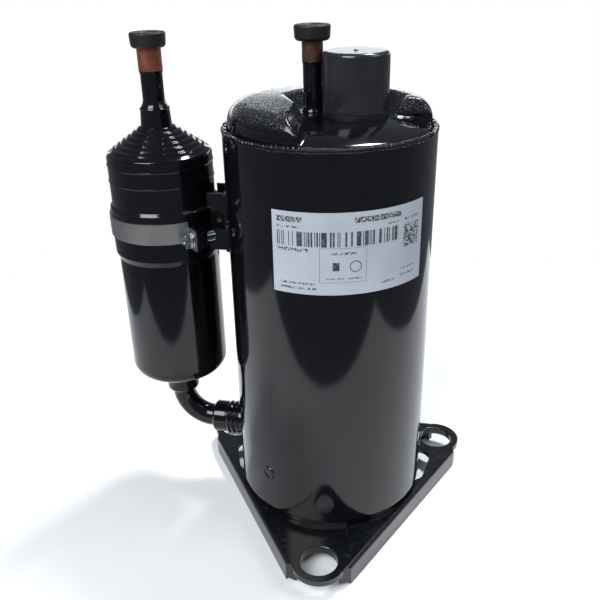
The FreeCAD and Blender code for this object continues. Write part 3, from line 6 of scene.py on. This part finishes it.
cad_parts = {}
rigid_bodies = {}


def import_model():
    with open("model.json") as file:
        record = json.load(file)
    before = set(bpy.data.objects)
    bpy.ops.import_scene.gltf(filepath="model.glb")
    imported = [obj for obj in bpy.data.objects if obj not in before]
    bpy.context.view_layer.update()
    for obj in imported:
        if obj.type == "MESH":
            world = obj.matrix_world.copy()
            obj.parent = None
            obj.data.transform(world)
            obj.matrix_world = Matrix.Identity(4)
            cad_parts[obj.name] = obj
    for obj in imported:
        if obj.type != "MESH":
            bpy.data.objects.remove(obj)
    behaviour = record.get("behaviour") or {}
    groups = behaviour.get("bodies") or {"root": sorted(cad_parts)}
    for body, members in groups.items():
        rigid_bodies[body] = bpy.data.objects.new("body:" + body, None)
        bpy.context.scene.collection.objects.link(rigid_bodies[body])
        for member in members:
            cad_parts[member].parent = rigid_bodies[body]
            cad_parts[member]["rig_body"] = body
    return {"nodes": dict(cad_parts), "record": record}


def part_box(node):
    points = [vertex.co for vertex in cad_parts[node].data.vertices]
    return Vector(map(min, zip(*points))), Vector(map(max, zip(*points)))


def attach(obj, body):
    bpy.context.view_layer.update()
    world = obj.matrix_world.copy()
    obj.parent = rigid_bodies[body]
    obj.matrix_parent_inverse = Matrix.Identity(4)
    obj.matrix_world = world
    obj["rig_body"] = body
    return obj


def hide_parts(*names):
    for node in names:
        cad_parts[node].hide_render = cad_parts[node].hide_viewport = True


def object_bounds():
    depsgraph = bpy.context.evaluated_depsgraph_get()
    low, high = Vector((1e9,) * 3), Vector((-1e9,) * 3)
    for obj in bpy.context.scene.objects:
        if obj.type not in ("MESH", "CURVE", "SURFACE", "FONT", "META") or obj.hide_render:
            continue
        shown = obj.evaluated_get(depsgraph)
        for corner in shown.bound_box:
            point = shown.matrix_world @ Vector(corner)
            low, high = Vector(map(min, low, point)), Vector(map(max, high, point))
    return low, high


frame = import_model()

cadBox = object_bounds()
mm = 0.001
usualNoise = (0.3, 0.7)
print("frame loaded:", len(frame["nodes"]), "nodes")


def linear(hexColour):
    channels = [int(hexColour[i:i + 2], 16) / 255 for i in (1, 3, 5)]
    return [c / 12.92 if c <= 0.04045 else ((c + 0.055) / 1.055) ** 2.4 for c in channels] + [1.0]


def addNode(tree, kind, inputs=None, **settings):
    node = tree.nodes.new(kind)
    for name, value in settings.items():
        setattr(node, name, value)
    for socket, value in (inputs or {}).items():
        if isinstance(value, bpy.types.NodeSocket):
            tree.links.new(value, node.inputs[socket])
        else:
            node.inputs[socket].default_value = value
    return node


def noiseAt(tree, place, sizeMm, detail=2.0, roughness=0.5):
    # one lump of the noise is about sizeMm across
    inputs = {"Vector": place, "Scale": 1 / (sizeMm * mm), "Detail": detail, "Roughness": roughness}
    return addNode(tree, "ShaderNodeTexNoise", inputs).outputs["Fac"]


def spread(tree, value, low, high, toLow=0.0, toHigh=1.0):
    # from low to high the value becomes toLow to toHigh, and it stays there outside them
    return addNode(tree, "ShaderNodeMapRange", {"Value": value, "From Min": low, "From Max": high,
                                                "To Min": toLow, "To Max": toHigh}).outputs["Result"]


def sums(tree, operation, first, second=0.0, third=0.0):
    return addNode(tree, "ShaderNodeMath", {0: first, 1: second, 2: third}, operation=operation).outputs[0]


def mixed(tree, amount, first, second):
    node = addNode(tree, "ShaderNodeMix", {"Factor": amount}, data_type="RGBA")
    for socket, value in ((node.inputs[6], first), (node.inputs[7], second)):
        if isinstance(value, bpy.types.NodeSocket):
            tree.links.new(value, socket)
        else:
            socket.default_value = value
    return node.outputs[2]


def surface(name, look):
    # colour drifts between two shades, a fine grain roughens the surface, a slow wave bends its reflections
    material = bpy.data.materials.new(name)
    material.use_nodes = True
    tree = material.node_tree
    shader = tree.nodes["Principled BSDF"]
    place = addNode(tree, "ShaderNodeTexCoord").outputs["Object"]
    stretch = look.get("stretch", (1, 1, 1))
    grainPlace = addNode(tree, "ShaderNodeMapping", {"Vector": place, "Scale": stretch}).outputs[0]
    patches = noiseAt(tree, place, look.get("patchMm", 12), 3)
    grain = noiseAt(tree, grainPlace, look.get("grainMm", 0.6), 2)
    first, second = (linear(shade) for shade in look["colours"])
    colour = mixed(tree, spread(tree, patches, *usualNoise), first, second)
    rough = spread(tree, grain, *usualNoise, *look["roughness"])
    slow = noiseAt(tree, place, look.get("waveMm", 14), 1)
    wave = addNode(tree, "ShaderNodeBump", {"Height": slow, "Distance": look.get("waveDepthMm", 0.0) * mm})
    bump = addNode(tree, "ShaderNodeBump", {"Height": grain, "Distance": look.get("grainDepthMm", 0.01) * mm,
                                            "Normal": wave.outputs[0]})
    tree.links.new(colour, shader.inputs["Base Color"])
    tree.links.new(rough, shader.inputs["Roughness"])
    tree.links.new(bump.outputs[0], shader.inputs["Normal"])
    shader.inputs["Metallic"].default_value = look.get("metallic", 0.0)
    if "ior" in look:
        shader.inputs["IOR"].default_value = look["ior"]
    if "coat" in look:
        shader.inputs["Coat Weight"].default_value = look["coat"]
        shader.inputs["Coat Roughness"].default_value = look["coatRoughness"]
    return {"material": material, "tree": tree, "shader": shader, "place": place, "colour": colour,
            "rough": rough, "bump": bump.outputs[0]}


looks = {
    # baked enamel over drawn sheet: near black, deep gloss with a faint orange peel
    "bakedBlackEnamel": {"colours": ("#06070a", "#0d0f13"), "roughness": (0.07, 0.11), "grainMm": 3.0,
                         "grainDepthMm": 0.001, "waveMm": 38, "waveDepthMm": 0.03, "patchMm": 25,
                         "ior": 1.44},
    # the same enamel on pressed brackets, a little duller where it pooled
    "pooledBlackEnamel": {"colours": ("#050608", "#0a0b0e"), "roughness": (0.12, 0.2), "grainMm": 1.8,
                          "grainDepthMm": 0.006, "waveMm": 16, "waveDepthMm": 0.06, "ior": 1.5},
    # the enamel of the base plate, scuffed in handling: the same black with a broken, greyer shine
    "scuffedEnamel": {"colours": ("#07080a", "#0e1013"), "roughness": (0.12, 0.2), "grainMm": 2.4,
                      "grainDepthMm": 0.003, "waveMm": 22, "waveDepthMm": 0.05, "patchMm": 18,
                      "ior": 1.6},
    # the same enamel over a fillet weld: burnt to a matt skin
    "burntEnamel": {"colours": ("#08090a", "#0e0f11"), "roughness": (0.7, 0.85), "grainMm": 1.0,
                    "grainDepthMm": 0.08, "ior": 1.3},
    # copper tube, drawn and annealed, with a thin red oxide
    "drawnCopper": {"colours": ("#b56a59", "#8a5042"), "roughness": (0.32, 0.46), "metallic": 0.8,
                    "patchMm": 4, "grainMm": 0.5, "stretch": (1, 1, 0.2), "grainDepthMm": 0.006},
    # the same tube where the braze's heat turned it brown
    "tarnishedCopper": {"colours": ("#7d574b", "#5f4439"), "roughness": (0.34, 0.5), "metallic": 0.8,
                        "patchMm": 4, "grainMm": 0.5, "stretch": (1, 1, 0.2), "grainDepthMm": 0.006},
    # compression moulded rubber: dead matt with a pale bloom
    "mouldedRubber": {"colours": ("#0d0c0e", "#161517"), "roughness": (0.45, 0.62), "patchMm": 3,
                      "grainMm": 0.35, "grainDepthMm": 0.02, "waveMm": 5, "waveDepthMm": 0.15},
    # injection moulded polyester with a fine spark-eroded texture: satin charcoal
    "mouldedPolyester": {"colours": ("#222326", "#292a2d"), "roughness": (0.15, 0.21), "patchMm": 9,
                         "grainMm": 0.5, "grainDepthMm": 0.008, "waveMm": 12, "waveDepthMm": 0.03},
    # bright zinc plate on a cold headed screw: cool and mirror-like with small dents
    "brightZinc": {"colours": ("#b9c0c6", "#98a0a8"), "roughness": (0.14, 0.3), "metallic": 1.0,
                   "patchMm": 2, "grainMm": 0.7, "grainDepthMm": 0.03, "waveMm": 2.5,
                   "waveDepthMm": 0.12},
    # rolled stainless strip: warm grey with fine lines along its length
    "rolledStainless": {"colours": ("#aba9a5", "#959491"), "roughness": (0.38, 0.5), "metallic": 1.0,
                        "patchMm": 14, "grainMm": 0.5, "stretch": (0.05, 0.05, 1), "grainDepthMm": 0.004,
                        "waveMm": 20, "waveDepthMm": 0.05},
    # pressed or cut mild steel, oiled and bare
    "oiledSteel": {"colours": ("#6f7376", "#5b5f63"), "roughness": (0.28, 0.42), "metallic": 1.0,
                   "grainMm": 0.8, "grainDepthMm": 0.01},
    # ground and lapped steel: pale with tight lines around the axis
    "lappedSteel": {"colours": ("#a2a6aa", "#8f9397"), "roughness": (0.14, 0.24), "metallic": 1.0,
                    "grainMm": 0.4, "stretch": (0.15, 0.15, 1), "grainDepthMm": 0.003},
    # grey iron, cast and machined: dark with a granular break in the cut face
    "machinedIron": {"colours": ("#4f5154", "#3f4144"), "roughness": (0.34, 0.52), "metallic": 0.9,
                     "patchMm": 5, "grainMm": 0.7, "grainDepthMm": 0.03},
    # silicon steel sheets stacked half a millimetre each: dark edges with fine level lines
    "stackedLaminations": {"colours": ("#5a5c5f", "#47494c"), "roughness": (0.3, 0.5), "metallic": 0.9,
                           "grainMm": 0.9, "stretch": (0.02, 0.02, 1), "grainDepthMm": 0.06},
    # pressure die-cast aluminium: light and slightly rippled
    "dieCastAluminium": {"colours": ("#b4b6b9", "#9fa1a5"), "roughness": (0.3, 0.46), "metallic": 1.0,
                         "grainMm": 1.2, "grainDepthMm": 0.03},
    # turned leaded brass: yellow with tool lines
    "turnedBrass": {"colours": ("#b08d4c", "#97763c"), "roughness": (0.2, 0.34), "metallic": 1.0,
                    "grainMm": 0.4, "stretch": (0.1, 0.1, 1), "grainDepthMm": 0.006},
    # polyamide-imide enamelled copper wire, wound and laced: amber brown strands
    "enamelledWire": {"colours": ("#9a4f22", "#7a3a18"), "roughness": (0.2, 0.36), "metallic": 0.5,
                      "patchMm": 3, "grainMm": 0.9, "stretch": (1, 1, 0.12), "grainDepthMm": 0.25,
                      "coat": 0.6, "coatRoughness": 0.05},
    # compression glass fused round the pins: dark green and glossy
    "fusedGlass": {"colours": ("#2f4a42", "#24382f"), "roughness": (0.05, 0.12), "grainMm": 0.5,
                   "grainDepthMm": 0.005},
    # woven polyester sleeving: off white with a slub
    "wovenSleeve": {"colours": ("#cfccc2", "#b9b5aa"), "roughness": (0.6, 0.8), "patchMm": 2,
                    "grainMm": 0.5, "grainDepthMm": 0.12},
    # moulded nylon housing: natural and waxy
    "naturalNylon": {"colours": ("#dcd8cb", "#cfcabb"), "roughness": (0.32, 0.46), "grainMm": 0.8,
                     "grainDepthMm": 0.01},
    # cold drawn spring steel: blue grey and smooth
    "springSteel": {"colours": ("#7d848c", "#686f78"), "roughness": (0.2, 0.32), "metallic": 1.0,
                    "grainMm": 0.4, "grainDepthMm": 0.004},
}
made = {name: surface(name, look) for name, look in looks.items()}


def addDust(kit, dust):
    # dust settles where a surface faces up: a haze and pale specks
    tree = kit["tree"]
    up = addNode(tree, "ShaderNodeSeparateXYZ", {0: addNode(tree, "ShaderNodeNewGeometry").outputs["Normal"]})
    level = spread(tree, up.outputs["Z"], dust["from"], dust["full"])
    height = addNode(tree, "ShaderNodeSeparateXYZ", {0: kit["place"]}).outputs["Z"]
    lifted = spread(tree, height, dust["above"], dust["above"] + dust["fadeMm"] * mm)
    level = sums(tree, "MULTIPLY", level, lifted)
    specks = spread(tree, noiseAt(tree, kit["place"], dust["speckMm"], 3, 0.7), *dust["speckNoise"])
    first, second = (linear(tint) for tint in dust["tints"])
    tints = noiseAt(tree, kit["place"], dust["tintMm"], 2)
    tint = mixed(tree, spread(tree, tints, *dust["tintNoise"]), first, second)
    haze = mixed(tree, sums(tree, "MULTIPLY", level, dust["haze"]), kit["colour"], tint)
    settled = sums(tree, "MULTIPLY", specks, level)
    speckled = mixed(tree, sums(tree, "MULTIPLY", settled, dust["specks"]), haze, linear(dust["speckColour"]))
    tree.links.new(speckled, kit["shader"].inputs["Base Color"])
    rough = sums(tree, "MULTIPLY_ADD", level, dust["rougher"], kit["rough"])
    tree.links.new(rough, kit["shader"].inputs["Roughness"])
    fine = addNode(tree, "ShaderNodeBump", {"Height": settled, "Normal": kit["bump"],
                                            "Distance": dust["speckHeightMm"] * mm})
    tree.links.new(fine.outputs[0], kit["shader"].inputs["Normal"])


# the cap's crown is dusty above the pad that carries the terminals, the plate only here and there
capDust = {"above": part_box("terminal_gasket")[0][2], "fadeMm": 3, "from": 0.15, "full": 0.8, "haze": 0.25,
           "tints": ("#3a333c", "#2b3833"), "tintMm": 9, "tintNoise": (0.4, 0.6), "rougher": 0.06,
           "speckMm": 0.9, "speckNoise": (0.56, 0.66), "specks": 0.5, "speckColour": "#8f8c94",
           "speckHeightMm": 0.05}
plateDust = dict(capDust, above=-1, haze=0.06, specks=0.04, rougher=0.03, speckMm=2.4, speckHeightMm=0.004)
capLook = dict(looks["bakedBlackEnamel"], waveDepthMm=0.08, waveMm=14)
made["dustyCapEnamel"] = surface("dustyCapEnamel", capLook)
addDust(made["dustyCapEnamel"], capDust)
addDust(made["scuffedEnamel"], plateDust)


def addFreezeLines(kit, weld):
    # the seam weld under the enamel has lumps and a freeze line at every step of the torch
    tree = kit["tree"]
    axes = addNode(tree, "ShaderNodeSeparateXYZ", {0: kit["place"]})
    angle = sums(tree, "ARCTAN2", axes.outputs["Y"], axes.outputs["X"])
    jitter = sums(tree, "MULTIPLY", noiseAt(tree, kit["place"], weld["jitterMm"], 2), weld["jitter"])
    turns = sums(tree, "MULTIPLY_ADD", angle, weld["ringRadiusMm"] / weld["pitchMm"] * 2 * math.pi, jitter)
    ripple = addNode(tree, "ShaderNodeBump", {"Height": sums(tree, "SINE", turns), "Normal": kit["bump"],
                                              "Distance": weld["depthMm"] * mm})
    tree.links.new(ripple.outputs[0], kit["shader"].inputs["Normal"])


weldLook = dict(looks["bakedBlackEnamel"], grainMm=1.0, grainDepthMm=0.12, roughness=(0.05, 0.12))
freezeLines = {"ringRadiusMm": 49.5, "pitchMm": 2.0, "depthMm": 0.25, "jitterMm": 5, "jitter": 9.0}
made["enamelledWeld"] = surface("enamelledWeld", weldLook)
addFreezeLines(made["enamelledWeld"], freezeLines)

# everything printed on the name label, in millimetres from its lower left corner:
# the middle of each field, half its width and half its height
label = {"radius": 50.96, "startAngle": -115.0, "ink": "#23262c", "film": ("#bcc2cb", "#b0b7c1"),
         "bars": [(31.0, 26.3, 28.6, 3.4)],
         "code": [(67.2, 23.6, 5.0, 5.4)],
         "boldText": [(8.3, 35.0, 6.0, 1.3), (48.8, 34.9, 11.4, 1.3)],
         "smallText": [(8.4, 31.6, 6.0, 0.55), (56.6, 31.4, 3.4, 0.45), (67.2, 31.6, 5.2, 0.55),
                       (9.8, 21.2, 7.2, 0.75), (32.7, 19.8, 5.8, 0.55), (28.6, 7.9, 4.2, 0.35),
                       (38.0, 7.9, 3.2, 0.35), (11.6, 5.2, 8.0, 0.5), (12.0, 2.9, 8.4, 0.5),
                       (54.2, 4.0, 3.4, 0.55), (65.8, 5.2, 4.8, 0.5), (65.8, 8.2, 4.8, 0.4)],
         "block": (29.2, 13.7, 1.5, 2.0),
         "frame": (32.4, 14.2, 10.6, 8.2), "frameLine": 0.16,
         "ring": (38.0, 13.6), "ringRadius": 2.5, "ringLine": 0.22,
         "cells": {"bars": (0.42, 90.0, 0.5), "code": (0.62, 0.62, 0.5), "boldText": (0.4, 0.5, 0.62),
                   "smallText": (0.42, 0.5, 0.5)}}


def printedFilm(name, look):
    # matt polyester film, thermal printed with bars, cells and broken lines that spell nothing
    kit = surface(name, {"colours": look["film"], "roughness": (0.28, 0.4), "patchMm": 18, "grainMm": 0.4,
                         "grainDepthMm": 0.003, "waveMm": 15, "waveDepthMm": 0.03})
    tree = kit["tree"]
    axes = addNode(tree, "ShaderNodeSeparateXYZ", {0: kit["place"]})
    angle = sums(tree, "ARCTAN2", axes.outputs["Y"], axes.outputs["X"])
    start = math.radians(look["startAngle"]) * look["radius"]
    across = sums(tree, "MULTIPLY_ADD", angle, look["radius"], -start)
    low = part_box("name_label")[0][2]
    up = sums(tree, "MULTIPLY_ADD", axes.outputs["Z"], 1 / mm, -low / mm)
    flat = addNode(tree, "ShaderNodeCombineXYZ", {0: across, 1: up}).outputs[0]

    def inside(left, middle, halfWide, halfHigh):
        return sums(tree, "MULTIPLY", sums(tree, "COMPARE", across, left, halfWide),
                    sums(tree, "COMPARE", up, middle, halfHigh))

    def anyOf(masks):
        result = masks[0]
        for mask in masks[1:]:
            result = sums(tree, "MAXIMUM", result, mask)
        return result

    def cells(wide, high, share):
        # this share of the cells of a grid is inked
        snapped = addNode(tree, "ShaderNodeVectorMath", {0: flat, 1: (wide, high, 1)}, operation="SNAP")
        noise = addNode(tree, "ShaderNodeTexWhiteNoise", {0: snapped.outputs[0]}, noise_dimensions="3D")
        return sums(tree, "LESS_THAN", noise.outputs["Value"], share)

    ink = [inside(*look["block"])]
    for kind, cell in look["cells"].items():
        fields = anyOf([inside(*field) for field in look[kind]])
        ink.append(sums(tree, "MULTIPLY", fields, cells(*cell)))
    left, middle, halfWide, halfHigh = look["frame"]
    line = look["frameLine"]
    ink.append(sums(tree, "SUBTRACT", inside(left, middle, halfWide, halfHigh),
                    inside(left, middle, halfWide - line, halfHigh - line)))
    distance = addNode(tree, "ShaderNodeVectorMath", {0: flat, 1: (*look["ring"], 0)}, operation="DISTANCE")
    ink.append(sums(tree, "COMPARE", distance.outputs["Value"], look["ringRadius"], look["ringLine"]))
    wear = spread(tree, noiseAt(tree, kit["place"], 1.2, 2), 0.35, 0.5, 0.72, 0.95)
    colour = mixed(tree, sums(tree, "MULTIPLY", anyOf(ink), wear), kit["colour"], linear(look["ink"]))
    tree.links.new(colour, kit["shader"].inputs["Base Color"])
    return kit


made["printedFilm"] = printedFilm("printedFilm", label)
print("materials made:", len(made))

# which finish each material slot of the record takes
slotFinishes = {
    "black_gloss_paint": "bakedBlackEnamel", "black_satin_paint": "pooledBlackEnamel",
    "copper": "drawnCopper", "black_rubber": "mouldedRubber", "cover_plastic": "mouldedPolyester",
    "label_film": "printedFilm", "zinc_steel": "brightZinc", "stainless_strip": "rolledStainless",
    "bare_steel": "oiledSteel", "ground_steel": "lappedSteel", "cast_iron": "machinedIron",
    "electrical_steel": "stackedLaminations", "cast_aluminium": "dieCastAluminium",
    "balance_brass": "turnedBrass", "winding_enamel": "enamelledWire", "sealing_glass": "fusedGlass",
    "lead_sleeve": "wovenSleeve", "plug_plastic": "naturalNylon", "spring_steel": "springSteel"}
nodeFinishes = {"top_cap": "dustyCapEnamel", "base_plate": "scuffedEnamel", "top_weld_bead": "enamelledWeld",
                "base_plate_welds": "burntEnamel", "discharge_tube_end": "tarnishedCopper"}
slotOf = {entry["node"]: entry["material_slot"] for entry in frame["record"]["subparts"]}


def finishOf(node):
    return made[nodeFinishes.get(node, slotFinishes[slotOf[node]])]["material"]


for node, item in frame["nodes"].items():
    item.data.materials.clear()
    item.data.materials.append(finishOf(node))


sharpAngle = math.radians(32)


def only(piece):
    bpy.ops.object.select_all(action="DESELECT")
    piece.select_set(True)
    bpy.context.view_layer.objects.active = piece


def applied(piece, kind, **settings):
    modifier = piece.modifiers.new(kind.title(), kind)
    for name, value in settings.items():
        setattr(modifier, name, value)
    only(piece)
    bpy.ops.object.modifier_apply(modifier=modifier.name)


def merged(node, name):
    # a copy of the CAD mesh with its loose triangles joined up
    piece = bpy.data.objects.new(name, frame["nodes"][node].data.copy())
    bpy.context.scene.collection.objects.link(piece)
    only(piece)
    bpy.ops.object.mode_set(mode="EDIT")
    bpy.ops.mesh.select_all(action="SELECT")
    bpy.ops.mesh.remove_doubles(threshold=0.002 * mm)
    bpy.ops.mesh.dissolve_limited(angle_limit=math.radians(0.3))
    bpy.ops.object.mode_set(mode="OBJECT")
    return piece


def settle(piece, finish, *nodes):
    piece.data.materials.clear()
    piece.data.materials.append(finish)
    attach(piece, frame["nodes"][nodes[0]]["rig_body"])
    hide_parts(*nodes)


# edges of the visible pieces: how wide the enamel or the tool rounds them, in millimetres
roundedEdges = {
    "shell_tube": 0.5, "bottom_cap": 0.3, "base_plate": 0.5, "discharge_tube": 0.15,
    "discharge_tube_end": 0.12, "suction_tube": 0.15, "suction_tube_end": 0.12,
    "accumulator_lower_shell": 0.2, "accumulator_upper_shell": 0.2, "suction_bushing": 0.25,
    "suction_elbow": 0.2, "accumulator_ferrule": 0.4, "suction_sleeve": 0.25, "discharge_plug": 0.5,
    "suction_plug": 0.5, "clamp_band": 0.12, "clamp_bracket": 0.3, "clamp_screw": 0.25,
    "clamp_washer": 0.2, "clamp_weld_nut": 0.4, "terminal_cover": 0.4, "name_label": 0.0}
for node, width in roundedEdges.items():
    piece = merged(node, node + "_finished")
    if width:
        applied(piece, "BEVEL", width=width * mm, segments=3, limit_method="ANGLE",
                angle_limit=sharpAngle)
    only(piece)
    bpy.ops.object.shade_smooth_by_angle(angle=sharpAngle)
    applied(piece, "WEIGHTED_NORMAL", keep_sharp=True, weight=80)
    settle(piece, finishOf(node), node)
print("edges rounded:", len(roundedEdges))

# the pressed top cap: its steps are drawn over a punch, so they are soft
cap = {"voxel": 0.75, "softening": 14}
piece = merged("top_cap", "pressed_top_cap")
applied(piece, "REMESH", mode="VOXEL", voxel_size=cap["voxel"] * mm)
applied(piece, "SMOOTH", factor=0.5, iterations=cap["softening"])
only(piece)
bpy.ops.object.shade_smooth()
settle(piece, finishOf("top_cap"), "top_cap")

# the seam weld: a lumpy ring laid between the cap and the tube
weld = {"radius": 49.6, "thickness": 1.5, "height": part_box("shell_tube")[1][2] / mm + 0.1, "lump": 1.05,
        "lumpSize": 1.7}
bpy.ops.object.select_all(action="DESELECT")
bpy.ops.mesh.primitive_torus_add(major_segments=420, minor_segments=14, major_radius=weld["radius"] * mm,
                                 minor_radius=weld["thickness"] * mm, location=(0, 0, weld["height"] * mm))
ring = bpy.context.active_object
ring.name = "seam_weld"
bpy.ops.object.transform_apply(location=True, rotation=True, scale=True)
lumps = bpy.data.textures.new("weldLumps", "CLOUDS")
lumps.noise_scale = weld["lumpSize"] * mm
applied(ring, "DISPLACE", texture=lumps, strength=weld["lump"] * mm, mid_level=0.5)
bpy.ops.object.shade_smooth()
settle(ring, finishOf("top_weld_bead"), "top_weld_bead")

# the three plug welds: a lip, a dished face and a raised middle
plugWeld = {"count": 3, "radius": 3.9, "firstAngle": -125.3, "height": 31.0, "shell": 50.8, "sunk": 0.12,
            "steps": ((0.5, 0.8), (0.7, -0.75), (0.9, -0.4), (0.6, 0.6))}
spots = []
for number in range(plugWeld["count"]):
    turn = math.radians(plugWeld["firstAngle"] + 360 / plugWeld["count"] * number)
    bpy.ops.object.select_all(action="DESELECT")
    bpy.ops.mesh.primitive_circle_add(vertices=32, radius=plugWeld["radius"] * mm, fill_type="NGON")
    spot = bpy.context.active_object
    bpy.ops.object.mode_set(mode="EDIT")
    bpy.ops.mesh.select_mode(type="FACE")
    bpy.ops.mesh.select_all(action="SELECT")
    for inset, rise in plugWeld["steps"]:
        bpy.ops.mesh.inset(thickness=inset * mm, depth=rise * mm)
    bpy.ops.object.mode_set(mode="OBJECT")
    out = Vector((plugWeld["shell"] - plugWeld["sunk"], 0, plugWeld["height"])) * mm
    facing = Matrix.Translation(out) @ Matrix.Rotation(math.radians(90), 4, "Y")
    spot.data.transform(Matrix.Rotation(turn, 4, "Z") @ facing)
    spots.append(spot)
bpy.ops.object.select_all(action="DESELECT")
for spot in spots:
    spot.select_set(True)
bpy.context.view_layer.objects.active = spots[0]
bpy.ops.object.join()
spots[0].name = "dished_plug_welds"
applied(spots[0], "SUBSURF", levels=2, render_levels=2)
bpy.ops.object.shade_smooth()
settle(spots[0], finishOf("shell_plug_welds"), "shell_plug_welds")
print("welds laid")

# the stage: a pale sheet of paper under the compressor
stage = {"left": -0.34, "right": 0.27, "front": -0.208, "back": 0.36}
bpy.ops.object.select_all(action="DESELECT")
bpy.ops.mesh.primitive_plane_add(size=1)
floor = bpy.context.active_object
floor.name = "floor"
wide, deep = stage["right"] - stage["left"], stage["back"] - stage["front"]
middle = Vector((stage["left"] + wide / 2, stage["front"] + deep / 2, cadBox[0][2]))
floor.data.transform(Matrix.Translation(middle) @ Matrix.Diagonal((wide, deep, 1, 1)))
paper = {"colours": ("#f4f5f6", "#eff1f3"), "roughness": (0.6, 0.7), "patchMm": 60, "grainMm": 0.8}
floor.data.materials.append(surface("matPaper", paper)["material"])

# the room: dim above the horizon, grey below it, a low pale wall behind the object and a white backdrop;
# the ranges are parts of a unit vector, from where the wall starts to show to where it is full
room = {"above": "#dfe6ee", "aboveStrength": 0.22, "below": "#6b6f78", "belowStrength": 1.3,
        "horizon": (-0.03, 0.06), "wall": "#eef3f8", "wallStrength": 3.2, "wallSides": (0.72, 0.86),
        "wallTop": (0.14, 0.12), "wallFoot": (-0.02, 0.01)}
world = bpy.data.worlds.new("room")
bpy.context.scene.world = world
world.use_nodes = True
tree = world.node_tree
tree.nodes.clear()
heading = addNode(tree, "ShaderNodeTexCoord").outputs["Generated"]
axes = addNode(tree, "ShaderNodeSeparateXYZ", {0: heading}).outputs
height = axes["Z"]
sky = mixed(tree, spread(tree, height, *room["horizon"]), linear(room["below"]), linear(room["above"]))
power = spread(tree, height, *room["horizon"], room["belowStrength"], room["aboveStrength"])
sides = spread(tree, axes["Y"], *room["wallSides"])
behind = sums(tree, "MULTIPLY", sides, spread(tree, height, *room["wallTop"]))
behind = sums(tree, "MULTIPLY", behind, spread(tree, height, *room["wallFoot"]))
sky = mixed(tree, behind, sky, linear(room["wall"]))
power = addNode(tree, "ShaderNodeMix", {0: behind, 2: power, 3: room["wallStrength"]}).outputs[0]
lit = addNode(tree, "ShaderNodeBackground", {"Color": sky, "Strength": power})
seen = addNode(tree, "ShaderNodeBackground", {"Color": (1, 1, 1, 1), "Strength": 1.0})
direct = addNode(tree, "ShaderNodeLightPath").outputs["Is Camera Ray"]
split = addNode(tree, "ShaderNodeMixShader", {0: direct, 1: lit.outputs[0], 2: seen.outputs[0]})
addNode(tree, "ShaderNodeOutputWorld", {0: split.outputs[0]})


def softbox(name, place, aim, wide, high, power):
    light = bpy.data.lights.new(name, "AREA")
    light.shape = "RECTANGLE"
    light.size = wide
    light.size_y = high
    light.energy = power
    light.color = (0.96, 0.98, 1.0)
    lamp = bpy.data.objects.new(name, light)
    bpy.context.scene.collection.objects.link(lamp)
    lamp.location = place
    lamp.rotation_euler = (Vector(aim) - Vector(place)).to_track_quat("-Z", "Y").to_euler()


softbox("ceilingPanel", (0.36, 0.5, 1.37), (0, 0, 0.15), 0.4, 0.2, 18)
softbox("frontFill", (-0.7, -1.3, 1.5), (0, 0, 0.1), 1.2, 1.0, 44)
softbox("sideFill", (1.4, -0.2, 1.3), (0, 0, 0.1), 0.9, 0.9, 9)

# the camera stands in front of the label, a little above the top of the tubes
camera = {"place": (28.0, -340.7, 277.4), "yaw": -7.33, "pitch": 25.61, "roll": -1.30, "film": 36,
          "lens": 43.1688}
yaw, pitch, roll = (math.radians(camera[name]) for name in ("yaw", "pitch", "roll"))
ahead = Vector((math.sin(yaw) * math.cos(pitch), math.cos(yaw) * math.cos(pitch), -math.sin(pitch)))
level = Vector((math.cos(yaw), -math.sin(yaw), 0))
over = level.cross(ahead)
right = math.cos(roll) * level + math.sin(roll) * over
upward = -math.sin(roll) * level + math.cos(roll) * over
lens = bpy.data.cameras.new("camera")
lens.sensor_width = camera["film"]
lens.lens = camera["lens"]
lens.clip_start = 0.01
eye = bpy.data.objects.new("camera", lens)
bpy.context.scene.collection.objects.link(eye)
facing = Matrix((right, upward, -ahead)).transposed().to_4x4()
eye.matrix_world = Matrix.Translation(Vector(camera["place"]) * mm) @ facing
bpy.context.scene.camera = eye
bpy.context.scene.view_settings.view_transform = "Standard"
print("stage, lights and camera set")
